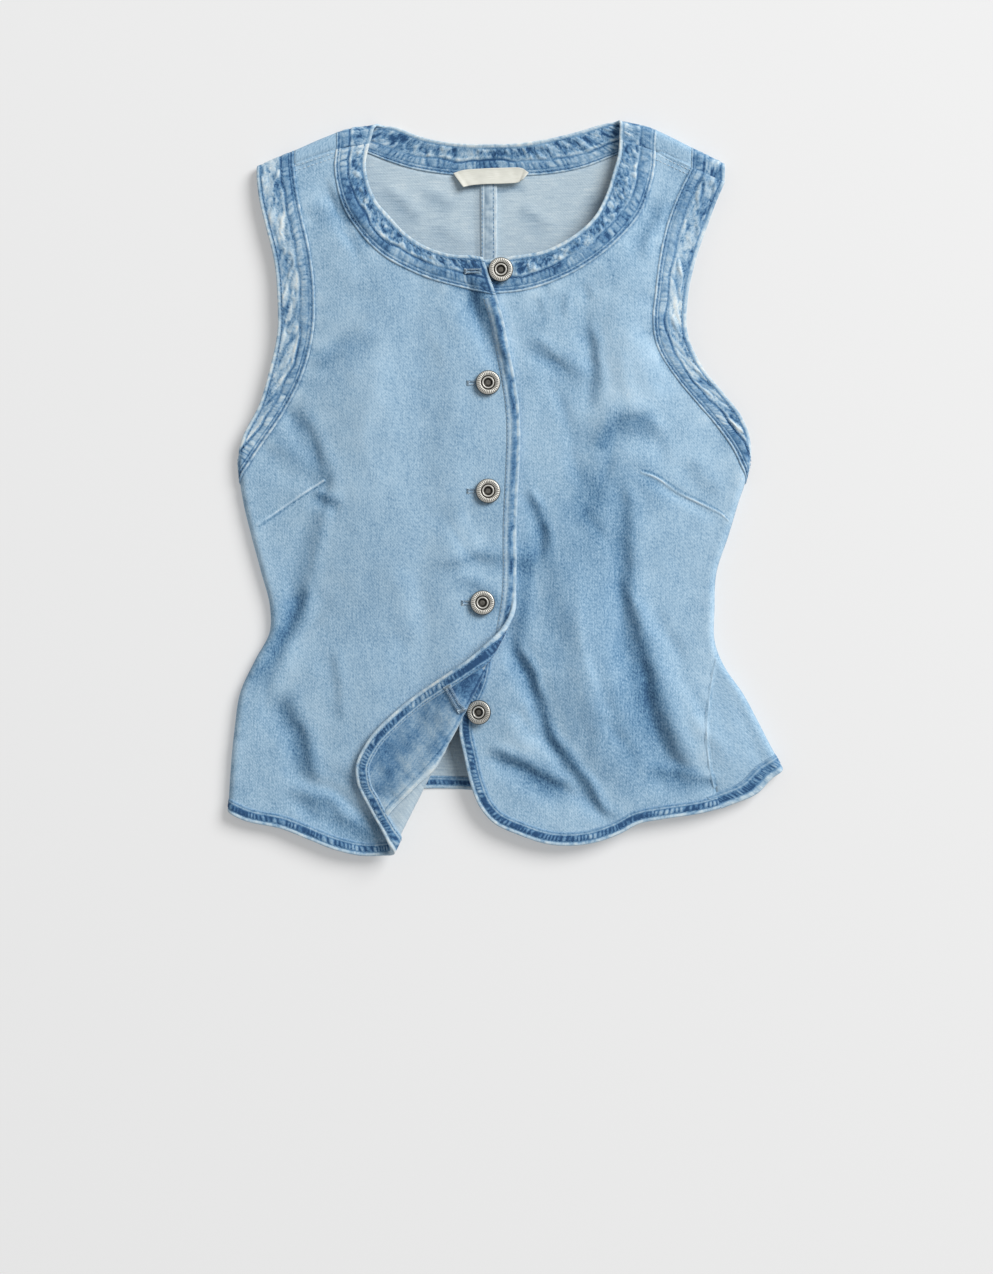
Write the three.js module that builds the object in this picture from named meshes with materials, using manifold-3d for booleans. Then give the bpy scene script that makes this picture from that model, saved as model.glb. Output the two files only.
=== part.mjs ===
// A collarless denim vest laid flat on its back, seen from above.
//
// Millimetres. X runs to the wearer's left, Y up to the neck, Z up from the surface that the vest
// lies on. The origin is under the middle of the garment's outline, on that surface.
//
// Each cut piece is worked out in a flat plan, where its four edges are short tables and its inside
// is blended between them. A map then lays the plan in space: the back lies on the surface and turns
// up round the side folds and the shoulder folds, and the fronts lie over it. A wall is the plan's
// points and the same points moved along their normals.

import * as THREE from "three";
import { mergeVertices } from "three/addons/utils/BufferGeometryUtils.js";
import Module from "manifold-3d";

// Driving sizes
const CLOTH = 1.2; // one layer of denim
const BAND = 1.6; // neckband and armbands, two layers
const BAND_PROUD = 0.4; // how far a band stands above its panel at its edges
const BAND_PUFF = 1.5; // times that, along its middle
const FACING = 1.0;
const BACK_NECK_LIFT = 4; // how far the back neck's free edge stands up
const LABEL = 0.8;
const SEAM_GAP = 0.3;
const FACING_GAP = 0.9;
const ROLL = 5; // outer radius of the side and shoulder folds
const LAP = 3.2; // height of the buttoned front above the other front
const LAP_FROM = -62; // where the buttoned front starts to rise
const LAP_TO = -30;
const CURL = 4; // inner radius where the loose corner folds back
const FLAP_HOVER = 2.4; // rest height of the folded corner above the front
const FLAP_SETTLE = 34; // run over which the folded corner sinks to that height
const HEM_PROUD = 0.5;
const DOME = 11; // how far the fronts stand above the folded edges
const FELL_WIDTH = 11.6; // lapped centre back seam
const FELL_STEP = 2; // run over which the upper layer steps up
const CENTRE_BACK = -5.4;
const CENTRE_HEM_Y = -219;
const CENTRE_NECK_Y = 225.5;
const CENTRE_FREE_Y = 247.5; // free edge of the back neckband at the centre
const BUTTON_RADIUS = 8.85;
const SHANK_RADIUS = 2.2;
const HOLE_LENGTH = 17;
const HOLE_WIDTH = 1.5;
const SHANK_HOLE_RADIUS = 2.9;

// Shares of a panel's height where its edges change from one seam to the next
const UNDERARM = 1 / 2;
const NECK_CORNER = 23 / 32;
const ROWS = 32;
const SHOULDER_SHARE = 2 / 10; // share of a back's width that its shoulder seam takes
const NECK_COLUMNS = 2; // columns of a back that its shoulder seam takes
const ARM_TO_FOLD = 8; // distance below the shoulder fold where an arm seam starts to turn over it
const BAND_TO_FOLD = 6; // the same for an armband's free edge
const BAND_COLUMNS = 3;
const FACING_COLUMNS = 5;
const BUTTON_SIDES = 14;
const SEAT_GAP = 0.5; // under a button's shank

const table = (names, rows) =>
  rows.map((row) => Object.fromEntries(names.split(" ").map((name, i) => [name, row[i]])));
const mix = (a, b, t) => a + (b - a) * t;
const clamp = (t) => Math.min(1, Math.max(0, t));
const ease = (t) => clamp(t) ** 2 * (3 - 2 * clamp(t));

// Side folds of the garment as it lies: where its outline runs below the armholes
const RIGHT = { sign: -1 };
const LEFT = { sign: 1 };
RIGHT.fold = table("y x", [
  [-240, 199], [-211, 197.5], [-173, 194], [-148, 190], [-124, 179], [-105, 169], [-87, 168.5],
  [-61, 175], [-35, 182], [-10, 188], [12, 191], [60, 191], [260, 191],
]);
LEFT.fold = table("y x", [
  [-232, 217], [-197, 198.5], [-173, 186], [-148, 172.5], [-130, 160], [-115, 153.5], [-87, 152.5],
  [-61, 154], [-35, 162.5], [-10, 170], [12, 177], [60, 178], [260, 178],
]);

// Shoulder folds, and on between them where the neck is open
const SHOULDER_FOLD = table("x y", [
  [-178, 232], [-153, 242.5], [-117, 257.5], [-86, 264.5], [-58, 280], [0, 292], [56, 280],
  [81, 266.5], [108, 259], [142, 242.5], [165, 231],
]);

// Creases and swells of the fronts: middle, direction in degrees, length, half width, height
const CREASES = table("x y turn length width height", [
  [-19, 122, -71, 76, 8, -2.2], // beside the placket under the neckband
  [-119, 199, -63, 42, 7, -1.6],
  [-117, 104, 22, 42, 9, -1.4],
  [-137, 29, -70, 54, 7, -1.8], // from the armhole to the dart
  [-153, -12, 33, 62, 4, -1.2], // right bust dart
  [-162, -111, 58, 66, 9, -3.2], // right waist
  [-149, -173, -73, 52, 9, -2],
  [-115, -226, -28, 72, 12, -2.4],
  [-30, -40, -51, 46, 8, -1.4],
  [61, 101, 90, 80, 10, -1.6],
  [37, 88, -34, 26, 8, -1.6],
  [28, -31, 90, 44, 7, -1.8],
  [73, 14, 71, 78, 10, -1.8],
  [97, 50, 0, 26, 6, -1.2],
  [85, -63, 90, 64, 10, -2],
  [105, -146, -74, 96, 13, -4], // long trough of the left front
  [131, -199, -44, 44, 12, -2.4],
  [24, -150, -68, 98, 9, -2.4],
  [30, -212, -23, 92, 9, -1.8],
  [115, 191, 57, 32, 8, -1.2],
  [127, -7, -30, 60, 4, -1.2], // left bust dart
  [90, 83, 90, 78, 18, 2.6],
  [-95, 60, 90, 90, 24, 2],
  [58, -110, -80, 90, 12, 2],
  [150, -180, -60, 60, 13, 2.2],
]);

// Value of a column of a table at a place between its rows, on a smooth curve through them
function read(rows, key, value, at) {
  const last = rows.length - 1;
  if (at <= rows[0][key]) return rows[0][value];
  if (at >= rows[last][key]) return rows[last][value];
  let i = 0;
  while (rows[i + 1][key] < at) i++;
  const span = (j) => rows[j + 1][key] - rows[j][key];
  const rate = (j) => (rows[j + 1][value] - rows[j][value]) / span(j);
  const slope = (j) => {
    if (j === 0) return rate(0);
    if (j === last) return rate(last - 1);
    return (rate(j - 1) * span(j) + rate(j) * span(j - 1)) / (span(j - 1) + span(j));
  };
  const t = (at - rows[i][key]) / span(i);
  const fromStart = rows[i][value] * (1 + 2 * t) + slope(i) * span(i) * t;
  const fromEnd = rows[i + 1][value] * (3 - 2 * t) - slope(i + 1) * span(i) * (1 - t);
  return fromStart * (1 - t) ** 2 + fromEnd * t ** 2;
}

// Gives each row of an edge its share, between two shares, in proportion to the length so far
function spread(rows, from, to) {
  let length = 0;
  const lengths = rows.map((row, i) => {
    if (i > 0) length += Math.hypot(row.x - rows[i - 1].x, row.y - rows[i - 1].y);
    return length;
  });
  return rows.map((row, i) => ({ ...row, at: mix(from, to, lengths[i] / length) }));
}

// Point at a share of an edge that is made of one or more spread tables, with a corner between them
function trace(edge, share) {
  const part = edge.find((rows) => share <= rows[rows.length - 1].at + 1e-9) ?? edge[edge.length - 1];
  return { x: read(part, "at", "x", share), y: read(part, "at", "y", share) };
}

const foldAt = (side, y) => read(side.fold, "y", "x", y);
const shoulderAt = (x) => read(SHOULDER_FOLD, "x", "y", x);
// Plan place of the middle of a side fold's turn
const apexAt = (side, y) => side.sign * (foldAt(side, y) + (Math.PI / 2 - 1) * ROLL);
// Plan place on the back piece of a point that lies on the front side of a fold
const roundSide = (side, x, y) =>
  side.sign * (2 * foldAt(side, y) - side.sign * x + (Math.PI - 2) * ROLL);
const overFold = ({ x, y }) => ({ x, y: 2 * shoulderAt(x) - y + (Math.PI - 2) * ROLL - SEAM_GAP });

// Height of the lower front's outer face
function frontHeight(x, y) {
  const inside = Math.min(x + foldAt(RIGHT, y), foldAt(LEFT, y) - x) - ROLL;
  const below = shoulderAt(x) - y;
  const towardsHem = 1 - 0.75 * ease((-120 - y) / 120);
  let height = DOME * ease(inside / 105) * ease((below - 6) / 110) * towardsHem;
  for (const crease of CREASES) {
    const turn = THREE.MathUtils.degToRad(crease.turn);
    const dx = x - crease.x;
    const dy = y - crease.y;
    const along = (dx * Math.cos(turn) + dy * Math.sin(turn)) / (crease.length / 2);
    const across = (dy * Math.cos(turn) - dx * Math.sin(turn)) / crease.width;
    height += crease.height * Math.exp(-(along ** 2) - across ** 2) * ease(inside / 16);
  }
  return 2 * ROLL + height;
}

// Point on a turn of the given radius after travelling past its start
const turned = (past, radius) => [
  radius * Math.sin(Math.min(past / radius, Math.PI)) - Math.max(0, past - Math.PI * radius),
  radius * (1 - Math.cos(Math.min(past / radius, Math.PI))),
];

// The lower front: flat plan to space, turning down at the side fold
function onLowerFront(x, y) {
  const side = x < 0 ? RIGHT : LEFT;
  const past = side.sign * x - (foldAt(side, y) - ROLL);
  if (past <= 0) return new THREE.Vector3(x, y, frontHeight(x, y));
  const [out, down] = turned(past, ROLL);
  return new THREE.Vector3(side.sign * (foldAt(side, y) - ROLL + out), y, 2 * ROLL - down);
}

// The line along which the loose corner of the buttoned front folds back
const FLAP_AXIS = { x: -38.8, y: -178.5, turn: -26.7 };
const FLAP_OUT = new THREE.Vector2(
  Math.cos(THREE.MathUtils.degToRad(FLAP_AXIS.turn)),
  Math.sin(THREE.MathUtils.degToRad(FLAP_AXIS.turn)),
);
const pastAxis = (x, y) => (x - FLAP_AXIS.x) * FLAP_OUT.x + (y - FLAP_AXIS.y) * FLAP_OUT.y;

// The buttoned front: as the lower one, raised over the lap, with its loose corner folded back
function onUpperFront(x, y) {
  const past = pastAxis(x, y) + CURL;
  const lifted = (px, py) => {
    const point = onLowerFront(px, py);
    point.z += LAP * ease((px - LAP_FROM) / (LAP_TO - LAP_FROM));
    return point;
  };
  if (past <= 0) return lifted(x, y);
  const [out, up] = turned(past, CURL);
  const back = past - out;
  const point = lifted(x - FLAP_OUT.x * back, y - FLAP_OUT.y * back);
  const settled = ease((past - Math.PI * CURL) / FLAP_SETTLE);
  point.z += mix(up, FLAP_HOVER, settled);
  return point;
}

// The back: flat on the surface, turning up at the side folds and the shoulder folds
function onBack(x, y) {
  const side = x < 0 ? RIGHT : LEFT;
  const pastSide = side.sign * x - (foldAt(side, y) - ROLL);
  if (pastSide > 0) {
    const [out, up] = turned(pastSide, ROLL);
    const across = side.sign * (foldAt(side, y) - ROLL + out);
    const over = pastSide > Math.PI * ROLL;
    return new THREE.Vector3(across, y, over ? frontHeight(across, y) : up);
  }
  const pastShoulder = y - (shoulderAt(x) - ROLL);
  if (pastShoulder > 0) {
    const [out, up] = turned(pastShoulder, ROLL);
    return new THREE.Vector3(x, shoulderAt(x) - ROLL + out, up);
  }
  return new THREE.Vector3(x, y, 0);
}

// Rows of the backs close up over the shoulder fold
const TURN_ROWS = 5;
const TURN_SHARE = 0.955;
function backShare(j) {
  if (j <= UNDERARM * ROWS) return j / ROWS;
  if (j > ROWS - TURN_ROWS) return mix(TURN_SHARE, 1, (j - ROWS + TURN_ROWS) / TURN_ROWS);
  return mix(UNDERARM, TURN_SHARE, (j / ROWS - UNDERARM) / (1 - TURN_ROWS / ROWS - UNDERARM));
}

// Plan grid blended between four edges: hem, shoulder, outer edge and inner edge. The knots of a row
// pair a column with its share of the width.
function patch({ bottom, top, outer, inner }, knotsAt, rowShare = (j) => j / ROWS) {
  const [low, high] = [0, 1].map((v) => [trace(outer, v), trace(inner, v)]);
  return Array.from({ length: ROWS + 1 }, (_, j) => {
    const v = rowShare(j);
    const at = (u) => {
      const [below, above, left, right] = [trace(bottom, u), trace(top, u), trace(outer, v), trace(inner, v)];
      const blend = (key) =>
        mix(below[key], above[key], v) + mix(left[key], right[key], u) -
        mix(mix(low[0][key], low[1][key], u), mix(high[0][key], high[1][key], u), v);
      return { x: blend("x"), y: blend("y") };
    };
    const knots = knotsAt(v, at);
    const columns = knots.at(-1).column;
    return Array.from({ length: columns + 1 }, (_, i) => {
      const k = Math.max(1, knots.findIndex(({ column }) => column >= i));
      const [from, to] = [knots[k - 1], knots[k]];
      return at(mix(from.share, to.share, (i - from.column) / (to.column - from.column)));
    });
  });
}

// Share of a row where a measure that grows along it reaches a value
function shareWhere(at, measure, value) {
  let [low, high] = [0, 1];
  for (let k = 0; k < 24; k++) {
    const middle = (low + high) / 2;
    if (measure(at(middle)) < value) low = middle;
    else high = middle;
  }
  return low;
}

// Closed wall over a plan grid, between two depths below the mapped face
function wall(grid, map, depth, outward) {
  const step = 0.4;
  const rows = grid.length;
  const columns = grid[0].length;
  const layers = [[], []];
  grid.forEach((line, j) =>
    line.forEach(({ x, y }, i) => {
      const point = map(x, y);
      const alongX = map(x + step, y).sub(map(x - step, y));
      const alongY = map(x, y + step).sub(map(x, y - step));
      const normal = alongX.cross(alongY).normalize().multiplyScalar(outward);
      const [from, to] = depth(i / (columns - 1), j / (rows - 1), x, y);
      layers[0].push(point.clone().addScaledVector(normal, -from));
      layers[1].push(point.clone().addScaledVector(normal, -to));
    }),
  );
  const index = [];
  const size = rows * columns;
  const quad = (a, b, c, d) => index.push(a, b, c, a, c, d);
  for (let j = 0; j < rows - 1; j++) {
    for (let i = 0; i < columns - 1; i++) {
      const a = j * columns + i;
      quad(a, a + 1, a + columns + 1, a + columns);
      quad(size + a, size + a + columns, size + a + columns + 1, size + a + 1);
    }
  }
  const rim = [];
  for (let i = 0; i < columns - 1; i++) rim.push(i);
  for (let j = 0; j < rows - 1; j++) rim.push(j * columns + columns - 1);
  for (let i = columns - 1; i > 0; i--) rim.push((rows - 1) * columns + i);
  for (let j = rows - 1; j > 0; j--) rim.push(j * columns);
  rim.forEach((a, k) => {
    const b = rim[(k + 1) % rim.length];
    quad(b, a, size + a, size + b);
  });
  const geometry = new THREE.BufferGeometry();
  const places = layers.flat().flatMap((point) => point.toArray());
  geometry.setAttribute("position", new THREE.Float32BufferAttribute(places, 3));
  geometry.setIndex(index);
  return volume(geometry) < 0 ? flipped(geometry) : geometry;
}

function volume(geometry) {
  const corner = [0, 1, 2].map(() => new THREE.Vector3());
  const { position } = geometry.attributes;
  let sum = 0;
  for (let i = 0; i < geometry.index.count; i += 3) {
    corner.forEach((point, k) => point.fromBufferAttribute(position, geometry.index.getX(i + k)));
    sum += corner[0].dot(corner[1].clone().cross(corner[2])) / 6;
  }
  return sum;
}

function flipped(geometry) {
  const { array } = geometry.index;
  for (let i = 0; i < array.length; i += 3) [array[i], array[i + 1]] = [array[i + 1], array[i]];
  return geometry;
}

// Booleans
const wasm = await Module();
wasm.setup();

function toSolid(geometry) {
  const bare = geometry.clone();
  bare.deleteAttribute("normal");
  bare.deleteAttribute("uv");
  const merged = mergeVertices(bare, 1e-4);
  return new wasm.Manifold(new wasm.Mesh({
    numProp: 3,
    vertProperties: new Float32Array(merged.attributes.position.array),
    triVerts: new Uint32Array(merged.index.array),
  }));
}

function cut(geometry, tools) {
  let solid = toSolid(geometry);
  for (const tool of tools) solid = solid.subtract(toSolid(tool));
  const mesh = solid.getMesh();
  const result = new THREE.BufferGeometry();
  result.setAttribute("position", new THREE.BufferAttribute(mesh.vertProperties, 3));
  result.setIndex(new THREE.BufferAttribute(mesh.triVerts, 1));
  return result;
}

const group = new THREE.Group();
const DENIM = { color: 0x94b4cc, roughness: 0.9, metalness: 0 };
const DENIM_INSIDE = { color: 0xaec2cf, roughness: 0.92, metalness: 0 };
const DENIM_BAND = { color: 0x6f8aa3, roughness: 0.88, metalness: 0 };
const TAPE = { color: 0xdee0d9, roughness: 0.8, metalness: 0 };
const METAL = { color: 0x8d8e8c, roughness: 0.35, metalness: 1 };

function add(name, geometry, finish) {
  geometry.computeVertexNormals();
  const mesh = new THREE.Mesh(geometry, new THREE.MeshStandardMaterial(finish));
  mesh.name = name;
  group.add(mesh);
}

// Side seams, from the hem up to the underarm, in the fronts' plan. The right one lies on the fold.
// The left one lies on the front, because the back wraps round there.
const seamOnFold = (side, heights) =>
  heights.map((y) => ({ x: apexAt(side, y) - (side.sign * SEAM_GAP) / 2, y }));
const RIGHT_SIDE_SEAM = seamOnFold(RIGHT, [-233, -211, -173, -148, -124, -105, -87, -61, -35, -10, 2]);
const LEFT_SIDE_SEAM = [
  ...table("x y", [[156, -231], [148.5, -198], [147, -176], [148.5, -156], [151, -138], [154.5, -122]]),
  ...seamOnFold(LEFT, [-104, -87, -61, -35, -10, 2]),
];

// Armhole seams, from the underarm up to the shoulder seam
const RIGHT_ARMHOLE = table("x y", [
  [RIGHT_SIDE_SEAM.at(-1).x, 2], [-186, 12], [-174, 30], [-158, 53.5], [-144.5, 80], [-136.5, 111],
  [-135.5, 137], [-138.5, 167], [-145, 196], [-148.5, 214], [-151, 233],
]);
const LEFT_ARMHOLE = table("x y", [
  [LEFT_SIDE_SEAM.at(-1).x, 2], [171.5, 14], [165, 27.5], [154.5, 42.5], [138.5, 61], [124, 78.5],
  [109, 104], [107, 122], [108.5, 138], [112.5, 168], [119, 194], [127, 214], [135, 230],
]);

// Neck seams, from the front edge up to the shoulder seam
const RIGHT_NECK = table("x y", [
  [-9.5, 137], [-28.5, 142], [-45, 146], [-66, 154], [-88, 166.5], [-106, 186], [-115, 201],
  [-120, 216], [-122, 232], [-121, 243],
]);
const LEFT_NECK = table("x y", [
  [-23.5, 137.5], [-7, 138], [16, 140.5], [43.5, 150], [68, 164.5], [87.5, 182], [99.5, 198],
  [105.5, 214], [109, 229], [110, 241.5],
]);

// Front edges, from the hem corner up to the neck seam. The right one is given before its lower
// corner is folded back.
const RIGHT_EDGE = table("x y", [
  [-13, -247.5], [-4, -232], [1.5, -205], [2.4, -184], [1.2, -162], [0.5, -134], [3.5, -108],
  [7.5, -84], [9, -24.5], [10.5, 8], [11.5, 34], [11, 53], [7, 81.5], [3, 102], [-2.5, 124], [-9.5, 137],
]);
const LEFT_EDGE = table("x y", [
  [-17, -229.5], [-22.5, -216], [-28, -193], [-31.5, -173], [-30.5, -162.5], [-27, -153.5],
  [-23.5, -146], [-19.5, -135], [-19, -100], [-22, -40], [-23.5, 60], [-23.5, 137.5],
]);

// Hems of the fronts, from the side seam to the front corner
const RIGHT_HEM = table("x y", [
  [RIGHT_SIDE_SEAM[0].x, -233], [-187.5, -239.5], [-159, -246], [-140, -253.5], [-120.5, -261],
  [-101, -265], [-85, -264.5], [-68, -261], [-44, -257.5], [-24, -254], [-13, -247.5],
]);
const LEFT_HEM = table("x y", [
  [156, -231], [144.5, -234], [115.5, -238.5], [97.5, -242], [83, -249.5], [63.5, -256],
  [31.5, -256.5], [12.5, -250.5], [-8.5, -240], [-17, -229.5],
]);

// Hem of the back as it lies, from each side seam to the centre seam: the left one lies on the front
// as far as the side fold
const BACK_HEM_RIGHT = table("x y", [[-180, -231.5], [-125, -226], [-53, -217]]);
const BACK_HEM_LEFT = table("x y", [[190, -199], [150, -204], [98, -211], [40, -217.5]]);
const BACK_HEM_WRAP = table("x y", [[163, -228.5], [181, -221], [195.5, -207.5]]);

// Neck seam of the back, from the shoulder seam over the fold to the centre
const BACK_NECK_RIGHT = table("x y", [
  [-117.5, 250], [-102, 243.5], [-85.5, 237], [-69, 231.5], [-48.5, 227.5], [-22.5, 225.5],
]);
const BACK_NECK_LEFT = table("x y", [
  [107, 250.5], [96, 246.5], [81.5, 240.5], [59.5, 232], [30, 226.5], [8, 225.5],
]);

// Free edges of the bands as they lie
const RIGHT_ARM_FREE = table("x y", [
  [-192.5, 7], [-192.5, 18], [-188.5, 34], [-175.5, 60], [-168, 85.5], [-162.5, 111.5],
  [-162.5, 137.5], [-165, 163.5], [-171.5, 189.5], [-175.5, 206.5], [-177.5, 222],
]);
const LEFT_ARM_FREE = table("x y", [
  [177, 7], [179, 18], [178, 34], [171, 51], [157.5, 68.5], [143.5, 85.5], [132, 111.5],
  [132.5, 137.5], [138, 163.5], [147, 189.5], [152.5, 204.5], [159, 219.5],
]);
const RIGHT_NECK_FREE = table("x y", [
  [-11.7, 164.5], [-24, 165], [-35.5, 165.5], [-53, 170.5], [-68, 179.5], [-82.5, 194.5],
  [-92, 206], [-97.5, 219], [-99.5, 234], [-97, 247],
]);
const LEFT_NECK_FREE = table("x y", [
  [-21.5, 162], [-9.5, 162.5], [7.5, 165], [29.5, 169], [48.5, 178.5], [65, 193], [74.5, 211],
  [79.5, 227], [83, 240], [84, 250],
]);
const BACK_NECK_FREE_RIGHT = table("x y", [
  [-89, 263.5], [-75, 259.5], [-64.5, 255], [-53, 251.5], [-39, 249], [-17.5, 247.5],
]);
const BACK_NECK_FREE_LEFT = table("x y", [
  [82, 266], [69.5, 262], [48.5, 255.5], [23.5, 250], [8, 248],
]);

// Depths of a panel's wall: its hem and its front edge are turned in, so they stand proud
const panelDepth = (u, v) => {
  const turnedIn = v === 0 || (u === 1 && v <= NECK_CORNER);
  return [turnedIn ? -HEM_PROUD : 0, CLOTH];
};

// How far a plan point is inside the start of its side fold's turn
const insideTurn = (side) => ({ x, y }) => foldAt(side, y) - ROLL - side.sign * x;
// Columns close up over the side fold below the underarm, and are even above it
const belowArm = (v) => ease((UNDERARM + 0.02 - v) / 0.05);
const turnKnot = (side, column, even, v, at) => ({
  column,
  share: mix(even, shareWhere(at, insideTurn(side), 0), belowArm(v)),
});

// Columns of the buttoned front also close up across the curl, below where it starts
function rightFrontKnots(v, at) {
  const last = at(1);
  const folded = ease((pastAxis(last.x, last.y) + 16) / 22);
  const past = ({ x, y }) => pastAxis(x, y);
  const curl = (column, even, value, most) => ({
    column,
    share: mix(even, Math.min(shareWhere(at, past, value), most), folded),
  });
  return [
    { column: 0, share: 0 },
    turnKnot(RIGHT, 2, 2 / 23, v, at),
    curl(12, 0.54, -CURL - 1, 0.95),
    curl(18, 0.8, (Math.PI - 1) * CURL + 1, 0.975),
    { column: 23, share: 1 },
  ];
}

const leftFrontKnots = (v, at) => [
  { column: 0, share: 0 },
  turnKnot(LEFT, 2, 2 / 17, v, at),
  { column: 17, share: 1 },
];

// Columns of the right back close up where it steps up over the left back's edge
function rightBackKnots(v, at) {
  const across = ({ x }) => x;
  const stepStart = CENTRE_BACK - FELL_WIDTH - FELL_STEP;
  return [
    { column: 0, share: 0 },
    turnKnot(RIGHT, 2, SHOULDER_SHARE, v, at),
    { column: 7, share: shareWhere(at, across, stepStart) },
    { column: 8, share: shareWhere(at, across, stepStart + FELL_STEP) },
    { column: 10, share: 1 },
  ];
}

// Columns of the left back close up round the fold, where the piece wraps on to the front
function leftBackKnots(v, at) {
  const inside = insideTurn(LEFT);
  const reach = -inside(at(0));
  const topOfTurn = Math.min(Math.PI * ROLL, 0.6 * reach);
  return [
    { column: 0, share: 0 },
    { column: 2, share: mix(SHOULDER_SHARE, shareWhere(at, inside, -topOfTurn), belowArm(v)) },
    { column: 6, share: mix(0.5, shareWhere(at, inside, 0), belowArm(v)) },
    { column: 10, share: 1 },
  ];
}

const rightFront = {
  bottom: [spread(RIGHT_HEM, 0, 1)],
  top: [spread([RIGHT_ARMHOLE.at(-1), RIGHT_NECK.at(-1)], 0, 1)],
  outer: [spread(RIGHT_SIDE_SEAM, 0, UNDERARM), spread(RIGHT_ARMHOLE, UNDERARM, 1)],
  inner: [spread(RIGHT_EDGE, 0, NECK_CORNER), spread(RIGHT_NECK, NECK_CORNER, 1)],
};
const leftFront = {
  bottom: [spread(LEFT_HEM, 0, 1)],
  top: [spread([LEFT_ARMHOLE.at(-1), LEFT_NECK.at(-1)], 0, 1)],
  outer: [spread(LEFT_SIDE_SEAM, 0, UNDERARM), spread(LEFT_ARMHOLE, UNDERARM, 1)],
  inner: [spread(LEFT_EDGE, 0, NECK_CORNER), spread(LEFT_NECK, NECK_CORNER, 1)],
};

const frontRightGrid = patch(rightFront, rightFrontKnots);
const frontLeftGrid = patch(leftFront, leftFrontKnots);

// The back's edges follow the fronts' own seam points, one gap away, so that seams match
function backEdges(side, frontGrid, armhole, centre, wrapHem, hem, neck) {
  const seam = frontGrid.slice(0, UNDERARM * ROWS + 1).map(([{ x, y }], j) => ({
    x: roundSide(side, x, y) - side.sign * SEAM_GAP,
    y,
    at: j / ROWS,
  }));
  const [armEnd, neckEnd] = [frontGrid.at(-1)[0], frontGrid.at(-1).at(-1)];
  const onFold = { x: armEnd.x, y: shoulderAt(armEnd.x) - ARM_TO_FOLD };
  const wrapped = wrapHem.map(({ x, y }) => ({ x: roundSide(side, x, y), y }));
  const hemEnd = { x: centre, y: CENTRE_HEM_Y };
  const neckMiddle = { x: centre, y: CENTRE_NECK_Y };
  const arm = [seam.at(-1), ...armhole.slice(1, -1), onFold, overFold(armEnd)];
  return {
    bottom: [spread([seam[0], ...wrapped, ...hem, hemEnd], 0, 1)],
    top: [
      spread([overFold(armEnd), overFold(neckEnd)], 0, SHOULDER_SHARE),
      spread([overFold(neckEnd), ...neck, neckMiddle], SHOULDER_SHARE, 1),
    ],
    outer: [seam, spread(arm, UNDERARM, 1)],
    inner: [spread([hemEnd, neckMiddle], 0, 1)],
  };
}

const rightBack = backEdges(
  RIGHT, frontRightGrid, RIGHT_ARMHOLE, CENTRE_BACK, [], BACK_HEM_RIGHT, BACK_NECK_RIGHT,
);
const leftBack = backEdges(
  LEFT, frontLeftGrid, LEFT_ARMHOLE, CENTRE_BACK - FELL_WIDTH + SEAM_GAP, BACK_HEM_WRAP,
  BACK_HEM_LEFT, BACK_NECK_LEFT,
);
const backRightGrid = patch(rightBack, rightBackKnots, backShare);
const backLeftGrid = patch(leftBack, leftBackKnots, backShare);

// Depths of the right back's wall, which steps up over the left back's edge at the centre
const lappedDepth = (u, v, x) => {
  const raised = (CLOTH + SEAM_GAP) * clamp((x - CENTRE_BACK + FELL_WIDTH + FELL_STEP) / FELL_STEP);
  return [raised, raised + CLOTH];
};

// Buttons and buttonholes: middle of each button, from the neck down, and what it sits on
const BUTTONS = table("x y fastened tilt under", [
  [-1.9, 155, false, 0, BAND_PUFF * BAND_PROUD], [-11, 74, true, 0, 0], [-11, -3.5, true, 0, 0],
  [-15, -83.5, true, 0, 0], [-16.6, -162, false, 8, 0],
]);
// Buttonholes that show empty: middle, direction, length, height above the lower front
const EMPTY_HOLES = {
  neck: { x: -19.8, y: 155.5, turn: 0, length: 9, height: LAP },
  flap: { x: -35.6, y: -151.6, turn: -63, length: 13.5, height: LAP + 8.5 },
};

function slot(length, width, depth) {
  const shape = new THREE.Shape();
  const half = (length - width) / 2;
  shape.absarc(half, 0, width / 2, -Math.PI / 2, Math.PI / 2);
  shape.absarc(-half, 0, width / 2, Math.PI / 2, (3 * Math.PI) / 2);
  return new THREE.ExtrudeGeometry(shape, { depth, bevelEnabled: false, curveSegments: 3 });
}

function emptyHole({ x, y, turn, length, height }) {
  const depth = 9;
  const tool = slot(length, HOLE_WIDTH, depth);
  tool.rotateZ(THREE.MathUtils.degToRad(turn));
  tool.translate(x, y, frontHeight(x, y) + height - depth / 2);
  return tool;
}

function fastenedHole({ x, y }) {
  const depth = 9;
  const tool = slot(HOLE_LENGTH, HOLE_WIDTH, depth);
  const shank = slot(2 * SHANK_HOLE_RADIUS + 0.01, 2 * SHANK_HOLE_RADIUS, depth);
  const floor = frontHeight(x, y) + LAP - depth / 2;
  tool.translate(x + SHANK_HOLE_RADIUS - HOLE_LENGTH / 2, y, floor);
  shank.translate(x, y, floor);
  return [tool, shank];
}

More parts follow.
